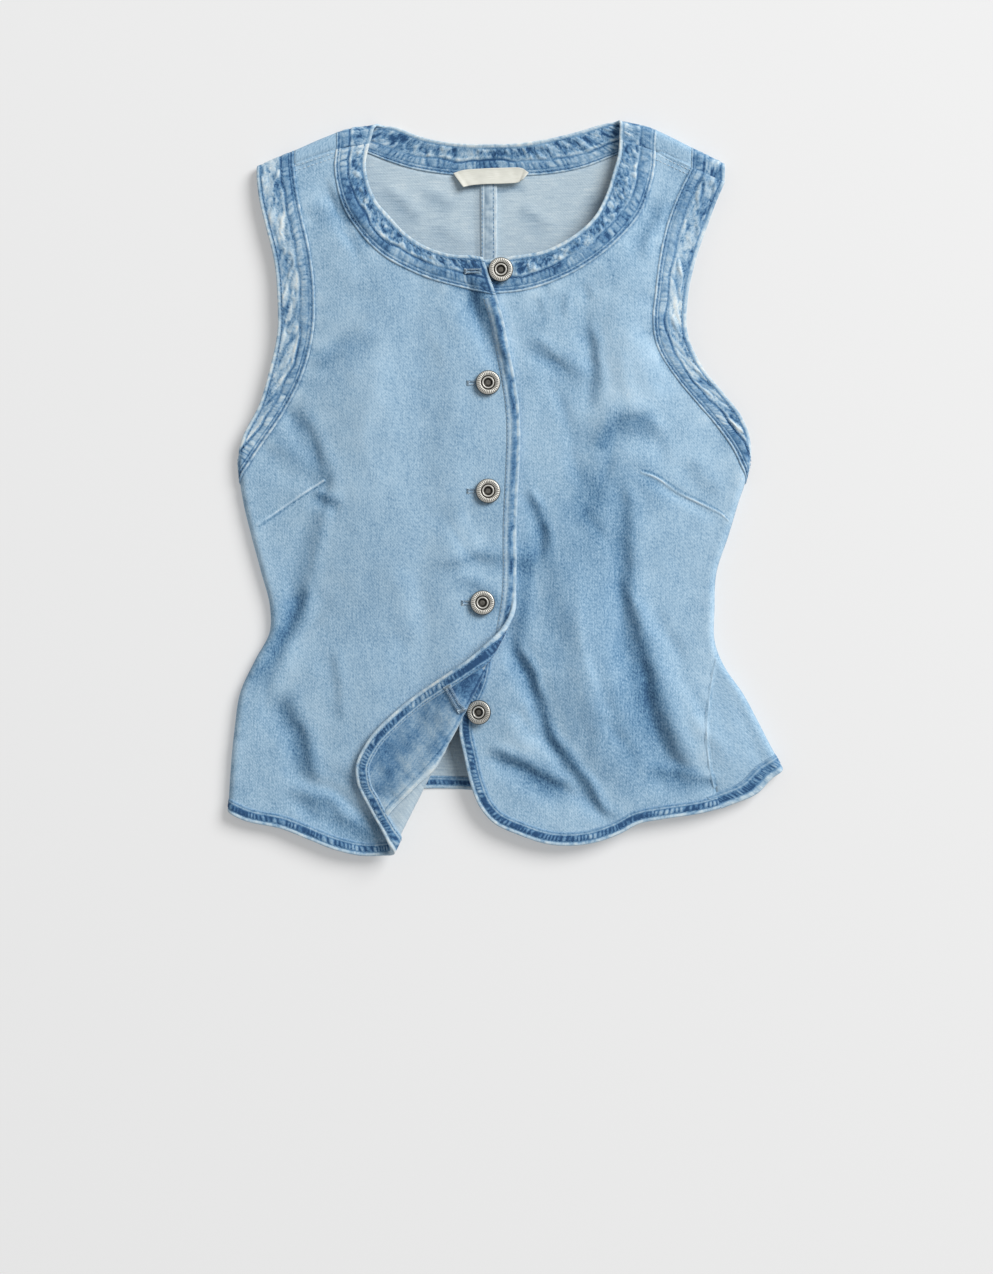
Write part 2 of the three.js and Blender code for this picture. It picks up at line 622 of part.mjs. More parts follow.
// A metal button: shank, cap with a rolled rim, a raised ring and a sunk middle
function button({ x, y, fastened, tilt, under }) {
  const neck = fastened ? LAP + 1 : 2.6;
  const profile = table("radius height", [
    [0, 0], [SHANK_RADIUS, 0], [SHANK_RADIUS, neck], [BUTTON_RADIUS - 0.7, neck],
    [BUTTON_RADIUS, neck + 0.7], [BUTTON_RADIUS, neck + 1.5], [BUTTON_RADIUS - 0.9, neck + 2.3],
    [5.4, neck + 2.2], [5, neck + 2.8], [4, neck + 2.8], [3.4, neck + 1.9], [0, neck + 1.7],
  ]);
  const outline = profile.map(({ radius, height }) => new THREE.Vector2(radius, height));
  const geometry = new THREE.LatheGeometry(outline, BUTTON_SIDES);
  geometry.rotateX(Math.PI / 2);
  geometry.rotateY(THREE.MathUtils.degToRad(-tilt));
  const footprint = [-1, 0, 1].flatMap((i) =>
    [-1, 0, 1].map((j) => frontHeight(x + i * SHANK_RADIUS, y + j * SHANK_RADIUS)));
  const tip = SHANK_RADIUS * Math.sin(THREE.MathUtils.degToRad(tilt));
  geometry.translate(x, y, Math.max(...footprint) + SEAT_GAP + under + tip);
  const whole = toSolid(geometry).getMesh();
  const result = new THREE.BufferGeometry();
  result.setAttribute("position", new THREE.BufferAttribute(whole.vertProperties, 3));
  result.setIndex(new THREE.BufferAttribute(whole.triVerts, 1));
  return result;
}

const fastened = BUTTONS.filter((row) => row.fastened).flatMap(fastenedHole);
add(
  "front_right",
  cut(wall(frontRightGrid, onUpperFront, panelDepth, 1), [...fastened, emptyHole(EMPTY_HOLES.flap)]),
  DENIM,
);
add("front_left", wall(frontLeftGrid, onLowerFront, panelDepth, 1), DENIM);
add("back_right", wall(backRightGrid, onBack, lappedDepth, -1), DENIM_INSIDE);
add("back_left", wall(backLeftGrid, onBack, () => [0, CLOTH], -1), DENIM_INSIDE);

// Bands: each starts one gap from its panel's own edge points and runs out to its free edge
function band(seam, free, map, outward, proud, lift = 0) {
  const freeEdge = [spread(free, 0, 1)];
  const grid = spread(seam, 0, 1).map(({ x, y, at }) => {
    const end = trace(freeEdge, at);
    const width = Math.hypot(end.x - x, end.y - y);
    return Array.from({ length: BAND_COLUMNS + 1 }, (_, i) => {
      const t = mix(SEAM_GAP / width, 1, i / BAND_COLUMNS);
      return { x: mix(x, end.x, t), y: mix(y, end.y, t) };
    });
  });
  const depth = (u, v) => {
    const raised = lift * u ** 2 * Math.sin(Math.PI * v) ** 2;
    const puffed = proud * (u > 0 && u < 1 ? BAND_PUFF : 1);
    return [raised - puffed, raised + BAND - proud];
  };
  return wall(grid, map, depth, outward);
}

const neckSeam = (grid) => grid.slice(Math.round(NECK_CORNER * ROWS)).map((row) => row.at(-1));
const armSeam = (grid) => grid.slice(UNDERARM * ROWS).map((row) => row[0]);
add(
  "neckband_front_right",
  cut(
    band(neckSeam(frontRightGrid), RIGHT_NECK_FREE, onUpperFront, 1, BAND_PROUD),
    [emptyHole(EMPTY_HOLES.neck)],
  ),
  DENIM_BAND,
);
add(
  "neckband_front_left",
  band(neckSeam(frontLeftGrid), LEFT_NECK_FREE, onLowerFront, 1, BAND_PROUD),
  DENIM_BAND,
);

const backNeckSeam = [
  ...backRightGrid.at(-1).slice(NECK_COLUMNS, -3),
  ...backLeftGrid.at(-1).slice(NECK_COLUMNS).reverse(),
];
const backNeckFree = [
  overFold(RIGHT_NECK_FREE.at(-1)),
  ...BACK_NECK_FREE_RIGHT,
  { x: -11, y: CENTRE_FREE_Y },
  ...BACK_NECK_FREE_LEFT.toReversed(),
  overFold(LEFT_NECK_FREE.at(-1)),
];
add("neckband_back", band(backNeckSeam, backNeckFree, onBack, -1, 0, BACK_NECK_LIFT), DENIM_BAND);

for (const [name, side, grid, backGrid, free] of [
  ["right", RIGHT, frontRightGrid, backRightGrid, RIGHT_ARM_FREE],
  ["left", LEFT, frontLeftGrid, backLeftGrid, LEFT_ARM_FREE],
]) {
  const map = side === RIGHT ? onUpperFront : onLowerFront;
  const shoulderEnd = free.at(-1);
  const backFree = [
    ...free.slice(0, -1).map(({ x, y }) => ({ x: x - side.sign, y })),
    { x: shoulderEnd.x, y: shoulderAt(shoulderEnd.x) - BAND_TO_FOLD },
    overFold(shoulderEnd),
  ];
  add(`armband_front_${name}`, band(armSeam(grid), free, map, 1, BAND_PROUD), DENIM_BAND);
  add(`armband_back_${name}`, band(armSeam(backGrid), backFree, onBack, -1, 0), DENIM_BAND);
}

// The facing inside the buttoned front's edge, where the folded corner shows it
const FACING_ROWS = table("innerX innerY outerX outerY", [
  [-6, -134, -0.8, -133], [-20.5, -162, 0, -160], [-31.5, -184, 1.2, -184],
  [-39.5, -200, 0.3, -205], [-46, -217, -3, -222], [-50, -231, -6.5, -234], [-54, -246, -15, -246.5],
  [-57, -254, -26, -252],
]);
const facingGrid = FACING_ROWS.map(({ innerX, innerY, outerX, outerY }) =>
  Array.from({ length: FACING_COLUMNS + 1 }, (_, i) => ({
    x: mix(innerX, outerX, i / FACING_COLUMNS),
    y: mix(innerY, outerY, i / FACING_COLUMNS),
  })));
const facingDepth = () => [CLOTH + FACING_GAP, CLOTH + FACING_GAP + FACING];
add(
  "facing_right",
  cut(wall(facingGrid, onUpperFront, facingDepth, 1), [emptyHole(EMPTY_HOLES.flap)]),
  DENIM_BAND,
);

// The blank neck label, caught by its upper edge in the neckband seam
const LABEL_ROWS = table("topX topY bottomX bottomY", [
  [-36, 227, -29, 217], [-28, 229.5, -23, 218.5], [-14, 230.5, -13, 219.3], [0, 231, -1, 219.6],
  [12, 231, 9.5, 220.3], [18, 227.5, 14, 222.5],
]);
const labelGrid = LABEL_ROWS.map(({ topX, topY, bottomX, bottomY }) =>
  [0, 1 / 2, 1].map((t) => ({ x: mix(bottomX, topX, t), y: mix(bottomY, topY, t) })));
const labelHeight = 2 * (CLOTH + SEAM_GAP);
add(
  "neck_label",
  wall(labelGrid, (x, y) => new THREE.Vector3(x, y, labelHeight), () => [0, LABEL], -1),
  TAPE,
);

BUTTONS.forEach((row, i) => add(`button_${i + 1}`, button(row), METAL));

export default group;
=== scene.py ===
"""Denim vest laid flat on its back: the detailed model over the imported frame.

Plan sizes are in millimetres in the tables below, and are turned to metres when a mesh is made.
Each piece is worked out in a flat plan and then laid in space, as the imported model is.
"""
import math

import bpy
import numpy as np
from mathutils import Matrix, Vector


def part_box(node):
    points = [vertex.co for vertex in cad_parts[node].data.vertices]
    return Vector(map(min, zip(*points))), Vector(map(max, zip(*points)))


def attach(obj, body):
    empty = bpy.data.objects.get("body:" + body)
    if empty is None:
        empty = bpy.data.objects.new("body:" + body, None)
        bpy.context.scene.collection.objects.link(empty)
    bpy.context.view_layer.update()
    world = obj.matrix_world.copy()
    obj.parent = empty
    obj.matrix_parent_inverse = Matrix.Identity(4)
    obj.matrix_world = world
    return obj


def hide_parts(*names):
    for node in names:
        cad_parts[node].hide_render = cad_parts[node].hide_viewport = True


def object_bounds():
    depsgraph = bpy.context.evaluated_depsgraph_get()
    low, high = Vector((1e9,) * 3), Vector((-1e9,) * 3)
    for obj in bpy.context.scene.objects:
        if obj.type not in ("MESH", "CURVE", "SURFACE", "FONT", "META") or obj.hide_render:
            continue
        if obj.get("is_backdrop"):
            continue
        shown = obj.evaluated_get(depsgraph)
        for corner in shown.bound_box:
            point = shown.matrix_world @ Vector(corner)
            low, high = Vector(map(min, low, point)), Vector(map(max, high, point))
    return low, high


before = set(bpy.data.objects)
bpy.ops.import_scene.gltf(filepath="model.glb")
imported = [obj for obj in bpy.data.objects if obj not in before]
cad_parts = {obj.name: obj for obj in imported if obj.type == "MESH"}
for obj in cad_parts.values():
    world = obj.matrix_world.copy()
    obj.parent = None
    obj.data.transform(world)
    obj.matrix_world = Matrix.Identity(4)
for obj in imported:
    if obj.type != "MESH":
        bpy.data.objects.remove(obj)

cad_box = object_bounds()

bl_info = {
    "name": "Denim vest laid flat",
    "version": (1, 0, 0),
    "blender": (4, 5, 0),
    "location": "View3D > Sidebar > Vest",
    "description": "Builds a washed denim vest, its topstitching, buttons and stage over a packed frame",
    "category": "Object",
}

MM = 0.001
COARSE = 1.0

# Sizes in millimetres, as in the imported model
CLOTH = 1.2
BAND = 1.6
BAND_PROUD = 0.4
SEAM_GAP = 0.3
ROLL = 5.0
LAP = 3.2
LAP_FROM = -62.0
LAP_TO = -30.0
CURL = 4.0
FLAP_HOVER = 2.4
FLAP_SETTLE = 34.0
DOME = 11.0
FELL_WIDTH = 11.6
FELL_STEP = 2.0
CENTRE_BACK = -5.4
CENTRE_HEM_Y = -219.0
CENTRE_NECK_Y = 225.5
CENTRE_FREE_Y = 247.5
BACK_NECK_LIFT = 4.0
UNDERARM = 1 / 2
NECK_CORNER = 23 / 32
SHOULDER_SHARE = 2 / 10
BAND_CENTRE = -11

# Distance from a side fold over which the creases and the dome of the fronts rise, the same from
# the shoulder fold, and where the dome sinks towards the hem
EDGE_REACH = 16
SIDE_REACH = 105
SHOULDER_REACH = 110
SHOULDER_FLAT = 6
HEM_LOW_FROM = -120
HEM_LOW_OVER = 120

# Sizes that only the detailed cloth has
HEM_WIDTH = 9.4
BACK_HEM_WIDTH = 8.6
# Rough width and height of a panel, for its number of mesh lines
PANEL_WIDTH = 200
PANEL_HEIGHT = 500
# The backs and the centre seam are plainer, so their mesh is that much wider
BACK_COARSER = 1.5
FELL_COARSER = 3
# Mesh of a band: distance between its lines along it, and their number across it
BAND_STEP = 0.86
BAND_LINES = 31
# Mesh of the facing: distance between its lines, and its size for their number
FACING_STEP = 0.9
FACING_LENGTH = 130
FACING_WIDTH = 48
# A sewn edge: mesh step across it, and its rim as place across and share from top to bottom
EDGE_STEP = 0.65
EDGE_RIM = [(-0.4, 0.16), (-0.65, 0.5), (-0.4, 0.84)]
# A seam's ridge: mesh step along it, mesh lines across it and depth of its base
RIDGE_STEP = 0.7
RIDGE_LINES = 17
RIDGE_BASE = 0.8
PATH_SAMPLES = 1600
# Seam stitches of the bands from the seam or, below 0, from the free edge
BAND_STITCHES = (2.4, 9.9, -3.1)
# Rows of stitches: the outer one from an edge, the inner one from the hem's inner side, the back's
# inner one from its edge, the two beside a shoulder seam, and those from the centre seam's sides
OUTER_ROW = 2.5
INNER_ROW = 1.1
BACK_INNER_ROW = 7.5
SHOULDER_ROWS = (1.6, 5.0)
FELL_ROW = 1.7
# Steps of the paths that the stitches follow, and of those that the seam marks are measured from
STITCH_PATH_STEP = 1.5
SEAM_PATH_STEP = 2.0
BUTTONS = range(1, 6)
FASTENED = (2, 3, 4)
# Buttonholes: length of the threads, distance of a hole's middle from its button, and the places
# of the two holes that no button fills
HOLE_LENGTH = 16
HOLE_BESIDE_BUTTON = 5.6
BAND_HOLE = (-21.8, 154)
BAND_HOLE_LENGTH = 9
FLAP_HOLE = (-34.9, -151.6)
FLAP_HOLE_TURN = -63
FLAP_HOLE_LENGTH = 16.5
# Lowest height of a mesh point, and the step that finds the cloth's normal
FLOOR_GAP = 0.03
NORMAL_STEP = 0.4

RIGHT = -1
LEFT = 1
# Side folds: y, distance from the middle
FOLD = {
    RIGHT: [
        (-240, 199), (-211, 197.5), (-173, 194), (-148, 190), (-124, 179), (-105, 169), (-87, 168.5),
        (-61, 175), (-35, 182), (-10, 188), (12, 191), (60, 191), (260, 191)],
    LEFT: [
        (-232, 217), (-197, 198.5), (-173, 186), (-148, 172.5), (-130, 160), (-115, 153.5),
        (-87, 152.5), (-61, 154), (-35, 162.5), (-10, 170), (12, 177), (60, 178), (260, 178)],
}
SHOULDER_FOLD = [
    (-178, 232), (-153, 242.5), (-117, 257.5), (-86, 264.5), (-58, 280), (0, 292), (56, 280),
    (81, 266.5), (108, 259), (142, 242.5), (165, 231)]

# Creases and swells of the fronts: middle x, y, direction in degrees, length, half width, height
CREASES = [
    (-19, 122, -71, 76, 8, -2.2), (-119, 199, -63, 42, 7, -1.6), (-117, 104, 22, 42, 9, -1.4),
    (-137, 29, -70, 54, 7, -1.8), (-153, -12, 33, 62, 4, -1.2), (-162, -111, 58, 66, 9, -3.2),
    (-149, -173, -73, 52, 9, -2), (-115, -226, -28, 72, 12, -2.4), (-30, -40, -51, 46, 8, -1.4),
    (61, 101, 90, 80, 10, -1.6), (37, 88, -34, 26, 8, -1.6), (28, -31, 90, 44, 7, -1.8),
    (73, 14, 71, 78, 10, -1.8), (97, 50, 0, 26, 6, -1.2), (85, -63, 90, 64, 10, -2),
    (105, -146, -74, 96, 13, -4), (131, -199, -44, 44, 12, -2.4), (24, -150, -68, 98, 9, -2.4),
    (30, -212, -23, 92, 9, -1.8), (115, 191, 57, 32, 8, -1.2), (127, -7, -30, 60, 4, -1.2),
    (90, 83, 90, 78, 18, 2.6), (-95, 60, 90, 90, 24, 2), (58, -110, -80, 90, 12, 2),
    (150, -180, -60, 60, 13, 2.2)]
# Sharper ones that only the detailed cloth has
SHARP_CREASES = [
    (-128, -2, 86, 30, 2.6, -0.7), (-141, -100, 47, 46, 4, -0.9), (-160, -86, 20, 34, 4, -0.9),
    (-168, -140, 78, 44, 4, -0.8), (-104, -214, -18, 60, 5, -0.9), (-132, -238, -30, 40, 5, -0.8),
    (-72, -120, 70, 60, 6, -0.5), (40, 60, -58, 40, 5, -0.9), (52, 20, -70, 46, 5, -0.9),
    (66, -28, -64, 36, 4, -0.7), (88, -190, -62, 40, 5, -0.9), (46, -196, -30, 52, 5, -1.0),
    (12, -128, -74, 60, 5, -1.0), (120, -110, -70, 54, 5, -0.9), (140, -160, -66, 50, 5, -0.9),
    (74, 128, 84, 44, 5, -0.6), (22, 116, 30, 30, 5, -0.6), (-112, 178, -66, 34, 4, -0.8),
    (118, 30, 68, 40, 5, -0.7), (-154, 56, -56, 36, 4, -0.6), (-50, 112, -78, 50, 6, 0.5)]

# Folds of the fronts with their painted shade: upper x, y, lower x, y, bow to the right, half width
# at the upper and lower end, rise from the left side to the right one, and painted tone (below 0:
# painted shade in the fold, partly dye kept there; above 0: painted light)
SHADES = [
    (85, 2, 90, -85, 2, 9, 10, 1.2, -0.65), (87, -78, 129, -216, -3, 9, 21, 3.6, -0.65),
    (104, -208, 160, -214, 0, 8, 9, 0.8, -0.6), (10, -112, 36, -186, 1, 7, 6, 1.5, -0.8),
    (33, -178, 78, -237, -2, 6, 7, 1.5, -0.8), (-8, -192, 44, -220, 3, 8, 10, 1.4, -1.1),
    (17, -36, 13, -112, 0, 7, 8, 0.3, -0.8), (-146, -76, -180, -142, 3, 9, 13, 1.8, -1.0),
    (-158, -150, -140, -212, 2, 12, 11, 1.9, -0.85), (-152, -223, -90, -257, 4, 8, 14, 1.2, -1.0),
    (-131, -8, -148, -92, -2, 9, 11, 1.0, -0.45), (-137, -7, -118, -15, 0, 6, 6, 0.8, -0.9),
    (21, -4, 26, -54, 5, 6, 8, 1.2, -0.8), (-48, -58, 20, -56, 4, 9, 9, 0.8, -0.45),
    (-34, -68, -2, -90, 2, 9, 11, 0.5, -0.7), (-122, -118, -118, -168, 0, 8, 8, 0.6, -0.2),
    (32, -54, 42, -110, 0, 14, 12, 0.6, -0.2), (-27, 150, 3, 82, 3, 13, 6, 1.6, -1.2),
    (20, 104, 60, 72, -2, 8, 12, 0.9, -0.55), (61, 116, 66, 58, 1, 6, 7, 0.9, -0.6),
    (68, 34, 112, 42, 8, 13, 14, 1.6, -1.1), (72, 40, 54, -24, 3, 15, 18, 1.3, -0.5),
    (92, 22, 104, -20, 0, 20, 18, 0.4, -0.4), (114, 203, 98, 168, -3, 7, 8, 1.0, -0.5),
    (-134, 88, -94, 110, -3, 10, 12, 0.6, -0.6), (-126, 216, -92, 178, -3, 6, 7, 0.7, -1.0),
    (-142, 199, -120, 196, 0, 9, 9, 0.5, -0.5), (-150, 56, -127, -6, 2, 10, 10, 1.2, -0.65),
    (-172, 34, -140, 12, 0, 12, 13, 0.6, -0.45), (136, 20, 152, -8, 0, 10, 11, 0.6, -0.3),
    (168, -150, 188, -206, 0, 9, 12, -0.8, 0.35), (96, 112, 120, 66, 2, 12, 14, -1.1, 0.1),
    (60, -120, 80, -196, 0, 11, 12, -1.2, 0.1), (-34, -22, -14, -42, 0, 13, 13, -0.9, 0.25),
    (-66, -60, -60, -110, 0, 12, 12, -0.6, 0.15), (4, -164, 26, -186, 0, 8, 9, -0.9, 0.2),
    (42, 138, 47, 122, 0, 4.5, 4, 0.35, -0.3), (58, 146, 63, 134, 0, 5, 4, 0.35, -0.25),
    (26, 136, 28, 124, 0, 4.5, 4, 0.3, -0.25), (60, 0, 80, -225, 0, 62, 62, 0, -0.62),
    (-124, -60, -130, -220, 0, 50, 50, 0, -0.15)]
# The same for the inside of the back, whose tones are painted shade
BACK_SHADES = [
    (-88, 214, -62, 194, 0, 7, 9, 0.5, -1.2), (-60, 211, -36, 203, 0, 6, 7, 0.4, -1.1),
    (10, 202, 34, 186, 0, 6, 8, 0.4, -0.9), (62, 200, 86, 214, 0, 7, 8, 0.4, -1.1),
    # The first row on the next line paints the neck label's shadow on the cloth below it
    (-30, 215.5, 13, 218.5, 0, 2.6, 2.6, 0, -2.6), (-50, 190, -30, 172, 0, 9, 9, 0.3, -0.8)]

# Edges in plan: x, y
ARMHOLE = {
    RIGHT: [
        None, (-186, 12), (-174, 30), (-158, 53.5), (-144.5, 80), (-136.5, 111), (-135.5, 137),
        (-138.5, 167), (-145, 196), (-148.5, 214), (-151, 233)],
    LEFT: [
        None, (171.5, 14), (165, 27.5), (154.5, 42.5), (138.5, 61), (124, 78.5), (109, 104),
        (107, 122), (108.5, 138), (112.5, 168), (119, 194), (127, 214), (135, 230)],
}
NECK = {
    RIGHT: [
        (-5.5, 136.5), (-28.5, 142), (-45, 146), (-66, 154), (-88, 166.5), (-106, 186), (-115, 201),
        (-120, 216), (-122, 232), (-121, 243)],
    LEFT: [
        (-23.5, 137.5), (-7, 138), (16, 140.5), (43.5, 150), (68, 164.5), (87.5, 182), (99.5, 198),
        (105.5, 214), (109, 229), (110, 241.5)],
}
FRONT_EDGE = {
    RIGHT: [
        (-13, -247.5), (-4, -232), (1.5, -205), (2.4, -184), (1.2, -162), (0.5, -134), (3.5, -108),
        (7.5, -84), (9, -24.5), (10.5, 8), (11.5, 34), (11, 53), (7, 81.5), (3, 102), (-1.5, 124),
        (-5.5, 136.5)],
    LEFT: [
        (-17, -229.5), (-22.5, -216), (-28, -193), (-31.5, -173), (-30.5, -162.5), (-27, -153.5),
        (-23.5, -146), (-19.5, -135), (-19, -100), (-22, -40), (-23.5, 60), (-23.5, 137.5)],
}
HEM = {
    RIGHT: [
        None, (-187.5, -239.5), (-159, -246), (-140, -253.5), (-120.5, -261), (-101, -265),
        (-85, -264.5), (-68, -261), (-44, -257.5), (-24, -254), (-13, -247.5)],
    LEFT: [
        (156, -231), (144.5, -234), (115.5, -238.5), (97.5, -242), (83, -249.5), (63.5, -256),
        (31.5, -256.5), (12.5, -250.5), (-8.5, -240), (-17, -229.5)],
}
BACK_HEM = {
    RIGHT: [(-180, -231.5), (-125, -226), (-53, -217)],
    LEFT: [(190, -199), (150, -204), (98, -211), (40, -217.5)],
}
BACK_HEM_WRAP = {RIGHT: [], LEFT: [(163, -228.5), (181, -221), (195.5, -207.5)]}
BACK_NECK = {
    RIGHT: [
        (-117.5, 250), (-102, 243.5), (-85.5, 237), (-69, 231.5), (-48.5, 227.5), (-22.5, 225.5)],
    LEFT: [(107, 250.5), (96, 246.5), (81.5, 240.5), (59.5, 232), (30, 226.5), (8, 225.5)],
}
# Free edges of the bands
ARM_FREE = {
    RIGHT: [
        (-192.5, 7), (-192.5, 18), (-188.5, 34), (-175.5, 60), (-168, 85.5), (-162.5, 111.5),
        (-162.5, 137.5), (-165, 163.5), (-171.5, 189.5), (-175.5, 206.5), (-177.5, 222)],
    LEFT: [
        (177, 7), (179, 18), (178, 34), (171, 51), (157.5, 68.5), (143.5, 85.5), (132, 111.5),
        (132.5, 137.5), (138, 163.5), (147, 189.5), (152.5, 204.5), (159, 219.5)],
}
NECK_FREE = {
    RIGHT: [
        (-15, 163.8), (-24, 165), (-35.5, 165.5), (-53, 170.5), (-68, 179.5), (-82.5, 194.5),
        (-92, 206), (-97.5, 219), (-99.5, 234), (-97, 247)],
    LEFT: [
        (-21.5, 162), (-9.5, 162.5), (7.5, 165), (29.5, 169), (48.5, 178.5), (65, 193),
        (74.5, 211), (79.5, 227), (83, 240), (84, 250)],
}
BACK_NECK_FREE = {
    RIGHT: [(-89, 263.5), (-75, 259.5), (-64.5, 255), (-53, 251.5), (-39, 249), (-17.5, 247.5)],
    LEFT: [(82, 266), (69.5, 262), (48.5, 255.5), (23.5, 250), (8, 248)],
}
# The facing that the folded corner shows: inner x, y, outer x, y
FACING_ROWS = [
    (-15, -134, -0.8, -133), (-29, -162, 0, -160), (-39, -184, 1.2, -184),
    (-45.5, -200, 0.3, -205), (-49, -217, -3, -222), (-51.5, -231, -6.5, -234),
    (-54, -246, -15, -246.5), (-57, -254, -26, -252)]
# The neck label: bottom x, y, top x, y
LABEL_ROWS = [
    (-29, 217, -36, 227), (-23, 218.5, -28, 229.5), (-13, 219.3, -14, 230.5),
    (-1, 219.6, 0, 231), (9.5, 220.3, 12, 231), (14, 222.5, 18, 227.5)]
# Its mesh lines along and across, and its thickness
LABEL_MESH = (90, 18)
TAPE = 0.5
FLAP_AXIS = (-38.8, -178.5, math.radians(-26.7))
DART = {
    RIGHT: [(-179.6, -29.5), (-153, -11.5), (-142.2, -4.3), (-127, 5)],
    LEFT: [(164.5, -25.6), (158, -19.4), (142.9, -11.5), (126.4, -3.6), (108.4, 7.9), (97.6, 11.5)],
}


# Plan arithmetic

def mix(a, b, t):
    return a + (b - a) * t


def ease(t):
    t = np.clip(t, 0, 1)
    return t * t * (3 - 2 * t)


def bump(t):
    """A soft hill, 1 at t 0 and close to 0 past t 2."""
    return np.exp(-t * t)


def curve(rows, at, key=0, value=1):
    """Value of a column of a table between its rows, on a smooth curve through them."""
    rows = np.asarray(rows, float)
    places, values = rows[:, key], rows[:, value]
    span = np.diff(places)
    rate = np.diff(values) / span
    slope = np.empty(len(places))
    slope[0], slope[-1] = rate[0], rate[-1]
    slope[1:-1] = (rate[:-1] * span[1:] + rate[1:] * span[:-1]) / (span[:-1] + span[1:])
    i = np.clip(np.searchsorted(places, at, side="right") - 1, 0, len(span) - 1)
    t = np.clip((at - places[i]) / span[i], 0, 1)
    start = values[i] * (1 + 2 * t) + slope[i] * span[i] * t
    end = values[i + 1] * (3 - 2 * t) - slope[i + 1] * span[i] * (1 - t)
    return start * (1 - t) ** 2 + end * t ** 2


def spread(points, start, end):
    """Rows of x, y and share, with the share in proportion to the length so far."""
    points = np.asarray(points, float)
    length = np.concatenate([[0], np.cumsum(np.hypot(*np.diff(points, axis=0).T))])
    return np.column_stack([points, mix(start, end, length / length[-1])])


def trace(edge, share):
    """Plan points at shares of an edge made of one or more spread tables."""
    share = np.asarray(share, float)
    x, y = np.zeros(share.shape), np.zeros(share.shape)
    done = np.zeros(share.shape, bool)
    for rows in edge:
        here = ~done & (share <= rows[-1, 2] + 1e-9)
        x = np.where(here, curve(rows, share, 2, 0), x)
        y = np.where(here, curve(rows, share, 2, 1), y)
        done |= here
    return x, y


def hills(x, y, size, seed):
    """Smooth random hills about that size across, from -1 to 1."""
    total = 0
    for octave, share in ((0, 0.7), (1, 0.3)):
        rng = np.random.default_rng(int(seed * 10) + octave)
        heights = rng.uniform(-1, 1, (128, 128))
        turn = 0.6 + seed * 0.7 + octave
        across = (x * math.cos(turn) + y * math.sin(turn)) / size * 2 ** octave
        along = (y * math.cos(turn) - x * math.sin(turn)) / size * 2 ** octave
        i, j = np.floor(across).astype(int), np.floor(along).astype(int)
        s, t = ease(across - i), ease(along - j)
        low = mix(heights[i % 128, j % 128], heights[(i + 1) % 128, j % 128], s)
        high = mix(heights[i % 128, (j + 1) % 128], heights[(i + 1) % 128, (j + 1) % 128], s)
        total = total + share * mix(low, high, t)
    return total * 1.5


def fold_at(side, y):
    return np.where(side < 0, curve(FOLD[RIGHT], y), curve(FOLD[LEFT], y))


def shoulder_at(x):
    return curve(SHOULDER_FOLD, x)


def round_side(side, x, y):
    """Plan place on the back piece of a point that lies on the front side of a fold."""
    return side * (2 * fold_at(side, y) - side * x + (math.pi - 2) * ROLL)


def over_fold(x, y):
    return x, 2 * shoulder_at(x) - y + (math.pi - 2) * ROLL - SEAM_GAP


# From plan to space

def crease_sum(x, y, rows, bend=0.0):
    """Height that a table of creases adds, each with a slightly wavy course."""
    total = 0
    for number, (cx, cy, turn, length, width, height) in enumerate(rows):
        turn = math.radians(turn)
        along = ((x - cx) * math.cos(turn) + (y - cy) * math.sin(turn)) / (length / 2)
        across = ((y - cy) * math.cos(turn) - (x - cx) * math.sin(turn)) / width
        if bend:
            across = across + bend * np.sin(along * 2.3 + number * 1.7)
        total = total + height * bump(along) * bump(across)
    return total


def shade_sum(x, y, rows):
    """Height and painted shade of a table of folds, partly dye kept in them; each is sharper on its
    right side and painted paler there, a painted highlight on its lit side.
    """
    lift, shade_and_dye = 0 * x, 0 * x
    wander = 2.6 * hills(x, y, 24, 5) + 0.9 * hills(x, y, 9, 6)
    for x0, y0, x1, y1, bow, wide0, wide1, rise, tone in rows:
        reach = math.hypot(x1 - x0, y1 - y0)
        ex, ey = (x1 - x0) / reach, (y1 - y0) / reach
        along = ((x - x0) * ex + (y - y0) * ey) / reach
        across = (y - y0) * ex - (x - x0) * ey - bow * 4 * along * (1 - along)
        across = (across + wander) / mix(wide0, wide1, np.clip(along, 0, 1))
        across = np.where(across > 0, 1.35 * across, across)
        ends = ease((along + 0.15) / 0.35) * ease((1.15 - along) / 0.35)
        lift = lift + rise * 2.3 * across * bump(across) * ends
        # Painted shade along each fold, and a paler band on its right side as a painted highlight
        shade_and_dye = shade_and_dye + tone * (bump(across) - 0.35 * bump((across - 2.1) / 0.8)) * ends
    return lift, shade_and_dye


def crease_detail(x, y):
    """Narrow cores of the large creases and the sharp ones."""
    cores = [(cx, cy, turn, length * 0.8, width * 0.34, height * 0.34)
             for cx, cy, turn, length, width, height in CREASES]
    return crease_sum(x, y, cores, 0.7) + crease_sum(x, y, SHARP_CREASES, 0.5)


def front_height(x, y):
    inside = np.minimum(x + fold_at(RIGHT, y), fold_at(LEFT, y) - x) - ROLL
    below = shoulder_at(x) - y
    towards_hem = 1 - 0.75 * ease((HEM_LOW_FROM - y) / HEM_LOW_OVER)
    height = DOME * ease(inside / SIDE_REACH) * towards_hem
    height = height * ease((below - SHOULDER_FLAT) / SHOULDER_REACH)
    relief = crease_sum(x, y, CREASES) + crease_detail(x, y) + shade_sum(x, y, SHADES)[0]
    relief = relief + 0.34 * hills(x, y, 26, 1) + 0.12 * hills(x, y, 9, 2)
    return 2 * ROLL + height + relief * ease(inside / EDGE_REACH)


def turned(past, radius):
    angle = np.clip(past / radius, 0, math.pi)
    over = np.maximum(0, past - math.pi * radius)
    return radius * np.sin(angle) - over, radius * (1 - np.cos(angle))


